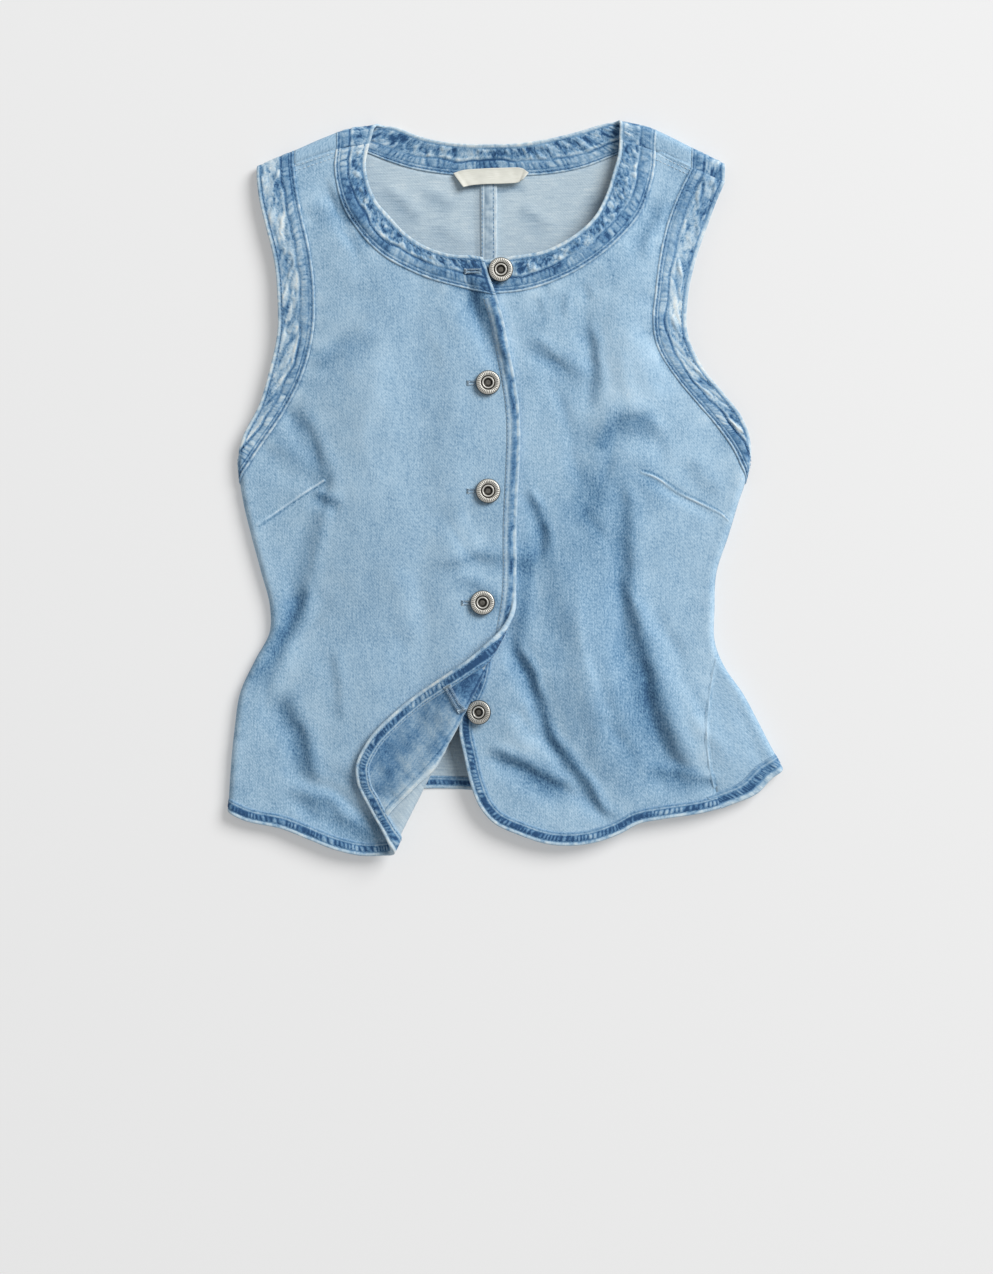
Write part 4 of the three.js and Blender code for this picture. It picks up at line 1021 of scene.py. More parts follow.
def seam_ridge(name, to_space, points, seed, worn=1.0, width=7.0):
    """A pale ridge with a dark line beside it, where two layers meet under the cloth."""
    path = Path(points, RIDGE_STEP)
    t = np.linspace(-width / 2, width / 2, RIDGE_LINES)
    x, y = (axis[:, None] + path.left[:, k:k + 1] * t for k, axis in enumerate((path.x, path.y)))
    s = path.s[:, None]
    ends = ease(s / 4) * ease((s[-1] - s) / 2)
    uneven = 0.75 + 0.5 * hills(s, 0 * s, 7, seed)
    ridge, groove = bump((t - 0.7) / 0.7), bump((t + 1.1) / 1.1)
    top = -0.25 + ends * (0.55 * bump(t / 2.8) + 0.35 * ridge * uneven - 0.15 * groove)
    wear_and_shade = fold_shade_and_wear(x, y) + ends * worn * (1.3 * ridge * uneven - 0.6 * groove)
    across = np.concatenate([t, t[::-1]])
    uv = np.stack([np.hstack([x, x[:, ::-1]]), np.hstack([y, y[:, ::-1]])], axis=-1)
    item = strip(name, to_space, path, 1, across, np.hstack([top, 0 * top - RIDGE_BASE]),
                 np.hstack([wear_and_shade, wear_and_shade]), [cloth_materials()[0]], uv)
    return settle(item, "denim")


def make_back(side, sizes):
    outer, _, _, weft = cloth_materials()
    name = "right" if side == RIGHT else "left"
    x, y = panel_grid(back_edges(side), sizes.spacing / MM * BACK_COARSER)
    raised = 0 * x
    if side == RIGHT:
        raised = (CLOTH + SEAM_GAP) * np.clip(
            (x - CENTRE_BACK + FELL_WIDTH + FELL_STEP) / FELL_STEP, 0, 1)
    points = [over_fold(*NECK[side][-1]), *BACK_NECK[side], (side * 2 - 5, CENTRE_NECK_Y)]
    lift, wear_and_shade = seam_marks(x, y, [Path(points, SEAM_PATH_STEP)], seed=30 + side)
    folds, shade = shade_sum(x, y, BACK_SHADES)
    item = cloth_shell(
        f"back_{name}_cloth", on_back, x, y, raised + sizes.thickness / MM + lift + np.maximum(folds, 0),
        raised, [weft, outer], wear_and_shade * 0.5 + shade, wear_and_shade_below=0)
    settle(item, "denim", f"back_{name}")
    return item, x, y


def sewn_edge(name, to_space, path, side, seed, top, below, strength=1.0, both=False,
              width=HEM_WIDTH, materials=None, shade_below=0.0, faced=0.0):
    """A closed strip that wraps a piece's edge. Its lower face is plain, or sewn as the upper."""
    t = np.linspace(width, 0, int(width / EDGE_STEP))
    s = path.s[:, None]
    lift, wear_and_shade = hem_relief(s, t[None, :], seed, strength, width, faced)
    below = np.asarray(below, float) + 0 * path.s
    under, under_wear_and_shade = (hem_relief(s, t[None, ::-1], seed, strength, width) if both
                         else (0.1 * ease((width - t[None, ::-1]) / 2) + 0 * s, 0.2 + 0 * s + 0 * t))
    # Painted shade given for the lower face is added to it
    under_wear_and_shade = under_wear_and_shade + (shade_below + 0 * path.s)[:, None]
    low = below[:, None] - under
    high = top + lift
    edge_top, edge_low = high[:, -1:], low[:, :1]
    rim_lift = np.hstack([mix(edge_top, edge_low, share) for _, share in EDGE_RIM])
    rim_wear = np.full(rim_lift.shape, 0.8) + 0.5 * hills(s, 0 * s, 5, seed + 9)
    across = np.concatenate([t, [place for place, _ in EDGE_RIM], t[::-1]])
    return strip(name, to_space, path, side, across, np.hstack([high, rim_lift, low]),
                 np.hstack([wear_and_shade, rim_wear, under_wear_and_shade]), materials or [cloth_materials()[1]])


def right_edge_path(step):
    return Path(HEM[RIGHT] + FRONT_EDGE[RIGHT][1:], step)


def left_edge_path(step):
    return Path(HEM[LEFT] + FRONT_EDGE[LEFT][1:], step)


def flap_depth(path):
    """How deep the right front's edge is: thicker where the folded corner shows its facing."""
    return -CLOTH - 1.45 * ease((past_flap(path.x, path.y) + 24) / 20)


def back_hem_path(side, step):
    x, y = SIDE_SEAM[side][0]
    start = (float(round_side(side, x, y)) - side * SEAM_GAP, y)
    wrapped = [(float(round_side(side, px, py)), py) for px, py in BACK_HEM_WRAP[side]]
    centre = CENTRE_BACK - 0.2 - (FELL_WIDTH if side == LEFT else 0)
    return Path([start, *wrapped, *BACK_HEM[side], (centre, CENTRE_HEM_Y)], step)


def sampled(points, count):
    x, y = trace([spread(points, 0, 1)], np.linspace(0, 1, count))
    return np.column_stack([x, y])


def make_band(node, to_space, seam, free, seed, kind, rests_on, back=False, lift_middle=0.0):
    """A two-layer band between its seam and its free edge."""
    band_cloth = cloth_materials()[1]
    length = float(np.hypot(*np.diff(np.asarray(seam, float), axis=0).T).sum())
    count = int(length / (BAND_STEP * COARSE))
    inner, outer = sampled(seam, count), sampled(free, count)
    width = np.hypot(*(outer - inner).T)[:, None]
    share = mix(SEAM_GAP / width, 1, np.linspace(0, 1, int(BAND_LINES / COARSE))[None, :])
    x = mix(inner[:, 0:1], outer[:, 0:1], share)
    y = mix(inner[:, 1:2], outer[:, 1:2], share)
    t = share * width
    s = np.concatenate([[0], np.cumsum(np.hypot(*np.diff(inner, axis=0).T))])[:, None] + 0 * t
    relief, wear_and_shade = band_relief(s, t, width, seed, kind)
    left = s[-1, 0] - s
    if kind == "neck":
        # Darker near the front end and before the shoulder, and paler at the shoulder. The
        # front end itself is pale, with a dark line where it is sewn
        wear_and_shade = wear_and_shade - 0.5 * bump((s - 10) / 22) - 0.4 * bump((left - 45) / 26) + 0.65 * bump(left / 26)
        wear_and_shade = mix(wear_and_shade, 1.1 + 0.4 * wear_and_shade, ease((2.6 - s) / 1.2)) - 1.1 * bump((s - 3.4) / 0.7)
    if kind.endswith("arm"):
        # Darker near the shoulder
        wear_and_shade = wear_and_shade - 0.6 * bump((left - (4 if back else 14)) / 16)
    # The ends reach a little over the gap, so that the seam is closed
    for row, beyond in ((-1, -2), (0, 1)) if back else ((-1, -2),):
        grow_by = 0.35 / np.hypot(x[row] - x[beyond], y[row] - y[beyond])
        x[row] += (x[row] - x[beyond]) * grow_by
        y[row] += (y[row] - y[beyond]) * grow_by
    ends = ease(s / 3) * ease(left / 3)
    raised = lift_middle * (share ** 2) * np.sin(math.pi * s / s[-1, 0]) ** 2
    middle = np.sin(math.pi * share) * 0.2
    if back:
        top, bottom = BAND + relief * 0.9 * ends, -relief * 0.6 * ends - middle
    else:
        top, bottom = BAND_PROUD + middle + relief * ends, BAND_PROUD - BAND
    item = cloth_shell(node + "_cloth", to_space, x, y, raised + top, raised + bottom, [band_cloth],
                       wear_and_shade, uv=np.stack([s, t], axis=-1), rim=0.45)
    settle(item, "denim_band", node)
    strip_length = max(s[-1, 0], float(np.hypot(*np.diff(outer, axis=0).T).sum()))
    return item


def ladder(table, along, across):
    """Plan grid between the two lines of a table, with its shares along and across."""
    rows = np.column_stack([np.arange(len(table)), np.asarray(table)])
    at = np.linspace(0, len(table) - 1, along)
    x0, y0, x1, y1 = (curve(rows, at, 0, k)[:, None] for k in (1, 2, 3, 4))
    share = np.linspace(0, 1, across)[None, :]
    return mix(x0, x1, share), mix(y0, y1, share), at[:, None] / at[-1], share


def make_facing():
    facing_cloth = cloth_materials()[2]
    step = FACING_STEP * COARSE
    x, y, _, share = ladder(FACING_ROWS, int(FACING_LENGTH / step), int(FACING_WIDTH / step))
    t = share * np.hypot(x[:, -1:] - x[:, :1], y[:, -1:] - y[:, :1])
    length = np.cumsum(np.hypot(np.diff(x[:, 0]), np.diff(y[:, 0])))
    s = np.concatenate([[0], length])[:, None] + 0 * t
    # The inner edge is turned under and sewn: it stands up, is worn pale and has a dark groove
    folded = 0.45 * ease((4.5 - t) / 1.0)
    pucker = hills(s, t * 0.45, 6.0, 41)
    relief = folded + 0.3 * pucker * ease((16 - t) / 12) + 0.2 * hills(s, t, 8, 42)
    groove = bump((t - 4.3) / 0.5)
    # The last term paints its upper end darker: partly painted shade, partly dye kept there
    wear_and_shade = (1.1 * ease((2.6 - t) / 0.9) - 0.9 * groove + 0.45 * pucker
            + 0.45 * hills(s * 0.3, t, 9, 43) + 0.4 * ease((9 - t) / 5)
            - 0.05 - 1.25 * ease((50 - s) / 32))
    item = cloth_shell("facing_right_cloth", on_upper_front, x, y, -CLOTH - 0.2,
                       -CLOTH - 1.15 - relief, [facing_cloth], 0.0, wear_and_shade_below=wear_and_shade,
                       uv=np.stack([s * 0.3 + x, t * 0.2 + y], axis=-1))
    settle(item, "denim_facing", "facing_right")
    declare_sheet(item, x, y)
    return item


def make_label():
    x, y, along, share = ladder(LABEL_ROWS, *LABEL_MESH)
    # The ends curl up, and a dark line marks where they are sewn
    end = np.abs(along - 0.5) * 2
    curl = 1.5 * ease((end - 0.72) / 0.28) * (1 - 0.5 * share)
    wave = 0.3 * hills(x, y, 9, 51) + 2.0 * (1 - share) ** 2
    wear_and_shade = 0.5 - 0.5 * bump((end - 0.8) / 0.06) - 0.25 * bump((share - 0.93) / 0.05)
    height = 2 * (CLOTH + SEAM_GAP) + curl + wave
    item = cloth_shell("neck_label_tape", on_back, x, y, height + TAPE, height, [satin_tape()], wear_and_shade)
    settle(item, "label_tape", "neck_label")
    declare_sheet(item, x, y)
    return item


# Buttons

# Half section of the cap: radius, height above its underside, wear from 0 dark to 1 rubbed bright;
# the -0.3 rows round the outer edge are a painted shade that rings the cap
CAP_SECTION = [
    (0.0, 1.15, 0.2), (1.2, 1.15, 0.3), (1.9, 1.05, 0.1), (2.5, 1.1, -0.1), (2.9, 1.4, -0.1),
    (3.2, 2.2, 0.55), (3.6, 2.75, 0.95), (4.1, 2.75, 0.9), (4.4, 2.3, 0.3), (4.65, 1.9, -0.2),
    (5.05, 1.95, 0.0), (5.35, 2.3, 0.8), (6.6, 2.45, 0.9), (7.8, 2.35, 0.9), (8.25, 2.1, 0.7),
    (8.5, 1.75, 0.1), (8.8, 1.15, -0.3), (8.7, 0.6, -0.3), (8.2, 0.25, -0.3), (7.0, 0.1, -0.3),
    (2.2, 0.0, 0.0)]
CAP_RADIUS = 8.8
CAP_HEIGHT = 2.8
KNURL_FROM, KNURL_TO = 5.4, 8.0
KNURL_ABOVE = 1.8
# Half section of the shank: radius, share of its height
SHANK_SECTION = [(2.2, 1.0), (2.2, 0.7), (1.9, 0.6), (1.9, 0.3), (2.3, 0.0), (0.0, 0.0)]
SHANK_WEAR = 0.1
# Mesh lines round a button and along its cap's section
BUTTON_MESH = (132, 61)
UNDONE_LOWEST = 5


def make_button(number, sizes, material):
    """A domed cap on a shank, with a knurled rim, a raised ring and a sunk, darkened middle."""
    node = f"button_{number}"
    low, high = (np.array(corner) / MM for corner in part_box(node))
    tilt = math.radians(sizes.tilt) if number == UNDONE_LOWEST else 0.0
    middle = (low + high) / 2
    around, section = BUTTON_MESH
    angles = np.linspace(0, 2 * math.pi, around, endpoint=False)
    rows = np.asarray(CAP_SECTION)
    at = np.linspace(0, len(rows) - 1, section)
    table = np.column_stack([np.arange(len(rows)), rows])
    radius, height, wear_and_shade = (np.interp(at, table[:, 0], table[:, k]) for k in (1, 2, 3))
    scale = sizes.radius / MM / CAP_RADIUS
    knurl = np.cos(angles * sizes.knurls)[None, :]
    on_rim = (ease((radius - KNURL_FROM) / 0.3) * ease((KNURL_TO - radius) / 0.3))[:, None]
    on_rim = on_rim * (height > KNURL_ABOVE)[:, None]
    rise = height[:, None] + 0.14 * knurl * on_rim
    shade = wear_and_shade[:, None] + (0.4 * knurl - 0.28) * on_rim
    x = scale * radius[:, None] * np.cos(angles)
    y = scale * radius[:, None] * np.sin(angles)
    neck = (high - low)[2] - CAP_HEIGHT - abs(math.sin(tilt)) * sizes.radius / MM
    cap = np.stack([x, y, rise + neck], axis=-1)
    shank_radius, shank_share = np.array(SHANK_SECTION).T[..., None]
    shank = np.stack([shank_radius * np.cos(angles), shank_radius * np.sin(angles),
                      neck * shank_share + 0 * angles], axis=-1)
    places = np.concatenate([cap, shank])[1:-1]
    tone = np.concatenate([shade, np.full(shank.shape[:2], SHANK_WEAR)])[1:-1]
    turned_x = places[..., 0] * math.cos(tilt) + places[..., 2] * math.sin(-tilt)
    turned_z = places[..., 2] * math.cos(tilt) - places[..., 0] * math.sin(-tilt)
    base = low[2] + abs(math.sin(tilt)) * SHANK_SECTION[0][0]
    places = np.stack([turned_x + middle[0], places[..., 1] + middle[1], turned_z + base], axis=-1)
    rings, sides = places.shape[:2]
    index = np.arange(rings * sides).reshape(rings, sides)
    after = np.roll(index, -1, axis=1)
    faces = np.stack([index[:-1], after[:-1], after[1:], index[1:]], axis=-1).reshape(-1, 4).tolist()
    faces += [index[0, ::-1].tolist(), index[-1].tolist()]
    item = mesh_object(f"button_{number}_metal", places.reshape(-1, 3), faces,
                       places.reshape(-1, 3)[:, :2], tone.ravel(), [material],
                       np.zeros(len(faces), int))
    return settle(item, "button_metal", node)


# Geometry Nodes

def node_group(name, sizes):
    tree = bpy.data.node_groups.new(name, "GeometryNodeTree")
    tree.interface.new_socket("Geometry", in_out="INPUT", socket_type="NodeSocketGeometry")
    for label, value in sizes.items():
        kind = "NodeSocketInt" if isinstance(value, int) else "NodeSocketFloat"
        tree.interface.new_socket(label, in_out="INPUT", socket_type=kind).default_value = value
    tree.interface.new_socket("Material", in_out="INPUT", socket_type="NodeSocketMaterial")
    tree.interface.new_socket("Geometry", in_out="OUTPUT", socket_type="NodeSocketGeometry")
    return tree, tree.nodes.new("NodeGroupInput").outputs


def topstitch_tree():
    """Small bars of thread at even steps along lines, each a little unlike the next."""
    tree, given = node_group("Topstitching", {
        "Pitch": 3.0 * MM, "Length": 2.5 * MM, "Thickness": 0.6 * MM, "Unevenness": 0.12, "Seed": 7})
    line = put(tree, "GeometryNodeMeshToCurve", {"Mesh": given["Geometry"]})
    steps = put(tree, "GeometryNodeResampleCurve", {"Curve": line, "Length": given["Pitch"]},
                mode="LENGTH")
    bar = put(tree, "GeometryNodeMeshUVSphere", {"Segments": 6, "Rings": 4, "Radius": 0.5})
    along = put(tree, "FunctionNodeAlignRotationToVector", {
        "Vector": put(tree, "GeometryNodeInputTangent")}, axis="X")
    spin = put(tree, "FunctionNodeRandomValue", data_type="FLOAT").node
    tree.links.new(given["Seed"], spin.inputs["Seed"])
    low = put(tree, "ShaderNodeMath", {0: 1.0, 1: given["Unevenness"]}, operation="SUBTRACT")
    high = put(tree, "ShaderNodeMath", {0: 1.0, 1: given["Unevenness"]}, operation="ADD")
    for socket, source in (("Min", low), ("Max", high)):
        target = next(s for s in spin.inputs if s.name == socket and s.type == "VALUE" and s.enabled)
        tree.links.new(source, target)
    share = next(s for s in spin.outputs if s.type == "VALUE" and s.enabled)
    reach = put(tree, "ShaderNodeMath", {0: given["Length"], 1: share}, operation="MULTIPLY")
    scale = put(tree, "ShaderNodeCombineXYZ", {
        "X": reach, "Y": given["Thickness"], "Z": given["Thickness"]})
    bars = put(tree, "GeometryNodeInstanceOnPoints", {
        "Points": steps, "Instance": bar, "Rotation": along, "Scale": scale})
    whole = put(tree, "GeometryNodeRealizeInstances", {"Geometry": bars})
    smooth = put(tree, "GeometryNodeSetShadeSmooth", {"Geometry": whole})
    painted = put(tree, "GeometryNodeSetMaterial", {"Geometry": smooth, "Material": given["Material"]})
    put(tree, "NodeGroupOutput", {"Geometry": painted})
    return tree


def thread_tree():
    """A round thread that follows lines, as the close zigzag of a buttonhole does."""
    tree, given = node_group("Buttonhole thread", {"Thickness": 0.5 * MM})
    line = put(tree, "GeometryNodeMeshToCurve", {"Mesh": given["Geometry"]})
    radius = put(tree, "ShaderNodeMath", {0: given["Thickness"], 1: 0.5}, operation="MULTIPLY")
    section = put(tree, "GeometryNodeCurvePrimitiveCircle", {"Resolution": 6, "Radius": radius})
    tube = put(tree, "GeometryNodeCurveToMesh", {
        "Curve": line, "Profile Curve": section, "Fill Caps": True})
    whole = put(tree, "GeometryNodeRealizeInstances", {"Geometry": tube})
    smooth = put(tree, "GeometryNodeSetShadeSmooth", {"Geometry": whole})
    painted = put(tree, "GeometryNodeSetMaterial", {"Geometry": smooth, "Material": given["Material"]})
    put(tree, "NodeGroupOutput", {"Geometry": painted})
    return tree


def grow(name, lines, tree, inputs):
    """Runs a node tree over lines in millimetres and keeps the result as a plain mesh."""
    points, edges = [], []
    for line in lines:
        start = len(points)
        points.extend((np.asarray(line) * MM).tolist())
        edges.extend((start + k, start + k + 1) for k in range(len(line) - 1))
    mesh = bpy.data.meshes.new(name + "_lines")
    mesh.from_pydata(points, edges, [])
    source = bpy.data.objects.new(name + "_lines", mesh)
    bpy.context.scene.collection.objects.link(source)
    grower = source.modifiers.new(tree.name, "NODES")
    grower.node_group = tree
    for socket in tree.interface.items_tree:
        if socket.item_type == "SOCKET" and socket.in_out == "INPUT" and socket.name in inputs:
            grower[socket.identifier] = inputs[socket.name]
    evaluated = source.evaluated_get(bpy.context.evaluated_depsgraph_get())
    result = bpy.data.meshes.new_from_object(evaluated)
    source.modifiers.remove(grower)
    bpy.data.objects.remove(source)
    item = bpy.data.objects.new(name, result)
    bpy.context.scene.collection.objects.link(item)
    return item


def stitch_line(to_space, path, distance, lift):
    x, y = path.beside(distance)
    return lay(to_space, x, y, lift + 0 * x)


def band_lines(to_space, seam, free, lift):
    """The rows of stitches along a band."""
    count = 160
    inner, outer = sampled(seam, count), sampled(free, count)
    width = np.hypot(*(outer - inner).T)
    for offset in BAND_STITCHES:
        share = (offset if offset > 0 else width + offset) / width
        x, y = mix(inner[:, 0], outer[:, 0], share), mix(inner[:, 1], outer[:, 1], share)
        yield lay(to_space, x, y, lift + 0 * x)


# Half width of a buttonhole's slit, its zigzag's step, and the length and stitches of an end bar
SLIT = 0.45
ZIGZAG_STEP = 0.75
BAR_LENGTH = 1.5
BAR_STITCHES = 9


def hole_threads(to_space, x, y, turn, length, lift, reach=1.3):
    """The close zigzag on both sides of a buttonhole's slit, and a bar across each end."""
    turn = math.radians(turn)
    count = int(length / ZIGZAG_STEP)
    along = np.linspace(-length / 2, length / 2, count)
    lines = []
    for sign in (-1, 1):
        px = np.repeat(along, 2)
        py = np.tile([sign * SLIT, sign * (SLIT + reach)], count)
        lines.append((px, py))
    for end in (-1, 1):
        across = np.linspace(-SLIT - reach, SLIT + reach, BAR_STITCHES)
        px = end * (length / 2 + np.tile([0.0, BAR_LENGTH], BAR_STITCHES))
        lines.append((px, np.repeat(across, 2)))
    for px, py in lines:
        ax = x + px * math.cos(turn) - py * math.sin(turn)
        ay = y + px * math.sin(turn) + py * math.cos(turn)
        yield lay(to_space, ax, ay, lift + 0 * ax)


# Properties

def length_property(name, description, value, **more):
    return bpy.props.FloatProperty(
        name=name, description=description, default=value * MM, unit="LENGTH", precision=5, **more)


class VestClothSizes(bpy.types.PropertyGroup):
    """Sizes of the denim."""
    thickness: length_property("Cloth thickness", "Thickness of one layer of denim", 1.0)
    spacing: length_property("Mesh spacing", "Distance between the mesh lines of a panel", 1.9)
    strip_step: length_property("Edge mesh step", "Distance between the mesh lines along an edge", 0.72)
    roping: bpy.props.FloatProperty(
        name="Roping", description="How strongly the sewn edges have puckered in the wash", default=1.0)


class VestThreadSizes(bpy.types.PropertyGroup):
    """Sizes of the sewing."""
    pitch: length_property("Stitch pitch", "Distance from one stitch to the next", 3.0)
    length: length_property("Stitch length", "Thread that shows of each stitch", 2.4)
    thickness: length_property("Thread thickness", "Thickness of the topstitching thread", 0.55)
    hole_thread: length_property("Buttonhole thread", "Thickness of a buttonhole's threads", 0.85)
    seed: bpy.props.IntProperty(name="Seed", description="Seed of the stitches' unevenness", default=7)


class VestButtonSizes(bpy.types.PropertyGroup):
    """Sizes of the buttons."""
    radius: length_property("Cap radius", "Radius of a button's cap", 8.8)
    knurls: bpy.props.IntProperty(name="Knurls", description="Ticks round a button's rim", default=33)
    tilt: bpy.props.FloatProperty(
        name="Tilt", description="Tilt in degrees of the undone lowest button", default=12.0)


class VestStageSizes(bpy.types.PropertyGroup):
    """Floor, light and camera."""
    floor_colour: bpy.props.FloatVectorProperty(
        name="Floor colour", description="Colour of the pale floor", subtype="COLOR", size=4,
        default=linear("#C9C9C9"))
    floor_glow: bpy.props.FloatProperty(
        name="Floor glow", description="Strength of the light from under the floor", default=0.26)
    key_power: bpy.props.FloatProperty(
        name="Key light", description="Power of the large soft lamp", default=900.0, unit="POWER")
    sky_strength: bpy.props.FloatProperty(
        name="Fill light", description="Strength of the even white surround", default=0.35)
    floor_size: length_property("Floor size", "Length of the floor's sides", 6000.0)
    key_size: length_property("Key light size", "Diameter of the large soft lamp", 5500.0)
    key_place: bpy.props.FloatVectorProperty(
        name="Key light place", description="Where the large soft lamp stands", subtype="TRANSLATION",
        default=(5.4, 4.5, 6.0))
    camera_place: bpy.props.FloatVectorProperty(
        name="Camera place", description="Where the camera hangs", subtype="TRANSLATION",
        default=(-5.0 * MM, -108 * MM, 2.212), precision=5)
    camera_lens: bpy.props.FloatProperty(
        name="Camera lens", description="Focal length in millimetres", default=86.34)


# Operators

class VestFronts(bpy.types.Operator):
    """Makes the two front panels with their hem and edge strips and the facing"""
    bl_idname = "vest.fronts"
    bl_label = "Fronts"

    def execute(self, context):
        sizes = context.scene.vest_cloth
        step = sizes.strip_step / MM * COARSE
        band_cloth = cloth_materials()[1]
        right, right_x, right_y = make_front(RIGHT, sizes)
        left, left_x, left_y = make_front(LEFT, sizes)
        path = right_edge_path(step)
        # Above the folded corner the front edge is backed by its facing
        placket = ease((path.y + 150) / 40) * (path.x > -30)
        # Painted shade: the edge's inside, which the corner shows, is painted dark at the top, near the
        # fold, and paler further down
        shade_below = 0.4 - 0.75 * ease((path.y + 165) / 25)
        right_hem = sewn_edge("front_right_edge", on_upper_front, path, side=1, seed=61, top=0.1,
                              below=flap_depth(path), strength=sizes.roping, both=True,
                              faced=placket[:, None], shade_below=shade_below)
        settle(right_hem, "denim_band")
        path = left_edge_path(step)
        left_hem = sewn_edge("front_left_edge", on_lower_front, path, side=-1, seed=62, top=0.1,
                             below=-CLOTH - 0.2, strength=sizes.roping)
        settle(left_hem, "denim_band")
        marks = {}
        for side, name, to_space in ((RIGHT, "right", on_upper_front), (LEFT, "left", on_lower_front)):
            shoulder = [NECK[side][-1], ARMHOLE[side][-1]]
            marks[side] = [
                seam_ridge(f"dart_{name}", to_space, DART[side], seed=65 + side, worn=1.5),
                seam_ridge(f"shoulder_seam_{name}", to_space, shoulder, seed=67 + side, worn=0.5,
                           width=5.0)]
        above_hem = [ABOVE_HEM, *SIDE_SEAM[LEFT][1:6]]
        marks[LEFT].append(seam_ridge("side_seam_left", on_lower_front, above_hem, seed=69,
                                      worn=0.45, width=5.0))
        declare_sheet(right, right_x, right_y,
                      with_pieces=[right_hem, *marks[RIGHT]])
        declare_sheet(left, left_x, left_y, with_pieces=[left_hem, *marks[LEFT]])
        make_facing()
        return {"FINISHED"}


class VestBacks(bpy.types.Operator):
    """Makes the two back panels with their hem strips and the lapped centre seam"""
    bl_idname = "vest.backs"
    bl_label = "Backs"

    def execute(self, context):
        sizes = context.scene.vest_cloth
        step = sizes.strip_step / MM * COARSE
        weft = cloth_materials()[3]
        for side, name in ((RIGHT, "right"), (LEFT, "left")):
            panel, x, y = make_back(side, sizes)
            path = back_hem_path(side, step)
            hem = sewn_edge(f"back_{name}_hem", on_back, path, -side, seed=70 + side, top=CLOTH + 0.1,
                            below=0.0, strength=sizes.roping * 0.8, both=True, width=BACK_HEM_WIDTH)
            settle(hem, "denim_band")
            pieces = [hem]
            if side == RIGHT:
                fold = CENTRE_BACK + SEAM_GAP
                seam = Path([(fold, CENTRE_HEM_Y + 4), (fold, CENTRE_NECK_Y - 0.5)], FELL_COARSER * step)
                fell = sewn_edge("centre_back_fell", on_back, seam, side=1, seed=75, top=CLOTH * 2 + 0.2,
                                 below=-1.6, width=FELL_WIDTH, materials=[weft])
                settle(fell, "denim")
                pieces.append(fell)
            declare_sheet(panel, x, y, with_pieces=pieces)
        return {"FINISHED"}


class VestBands(bpy.types.Operator):
    """Makes the neckband and the armhole bands"""
    bl_idname = "vest.bands"
    bl_label = "Bands"

    def execute(self, context):
        for side, name in ((RIGHT, "right"), (LEFT, "left")):
            to_space = on_upper_front if side == RIGHT else on_lower_front
            front, back = f"front_{name}_cloth", f"back_{name}_cloth"
            make_band(f"neckband_front_{name}", to_space, NECK[side], NECK_FREE[side],
                      seed=81 + side, kind="neck", rests_on=front)
            make_band(f"armband_front_{name}", to_space, ARMHOLE[side], ARM_FREE[side],
                      seed=84 + side, kind=f"{name}_arm", rests_on=front)
            make_band(f"armband_back_{name}", on_back, back_arm_seam(side), back_arm_free(side),
                      seed=87 + side, kind=f"{name}_arm", rests_on=back, back=True)
        make_band("neckband_back", on_back, *back_neck_lines(), seed=91, kind="back_neck",
                  rests_on="back_right_cloth", back=True, lift_middle=BACK_NECK_LIFT)
        return {"FINISHED"}


class VestLabel(bpy.types.Operator):
    """Makes the blank neck label"""
    bl_idname = "vest.label"
    bl_label = "Label"

    def execute(self, context):
        make_label()
        return {"FINISHED"}


class VestButtons(bpy.types.Operator):
    """Makes the five metal buttons"""
    bl_idname = "vest.buttons"
    bl_label = "Buttons"

    def execute(self, context):
        metal = antique_metal()
        for number in BUTTONS:
            make_button(number, context.scene.vest_button, metal)
        return {"FINISHED"}


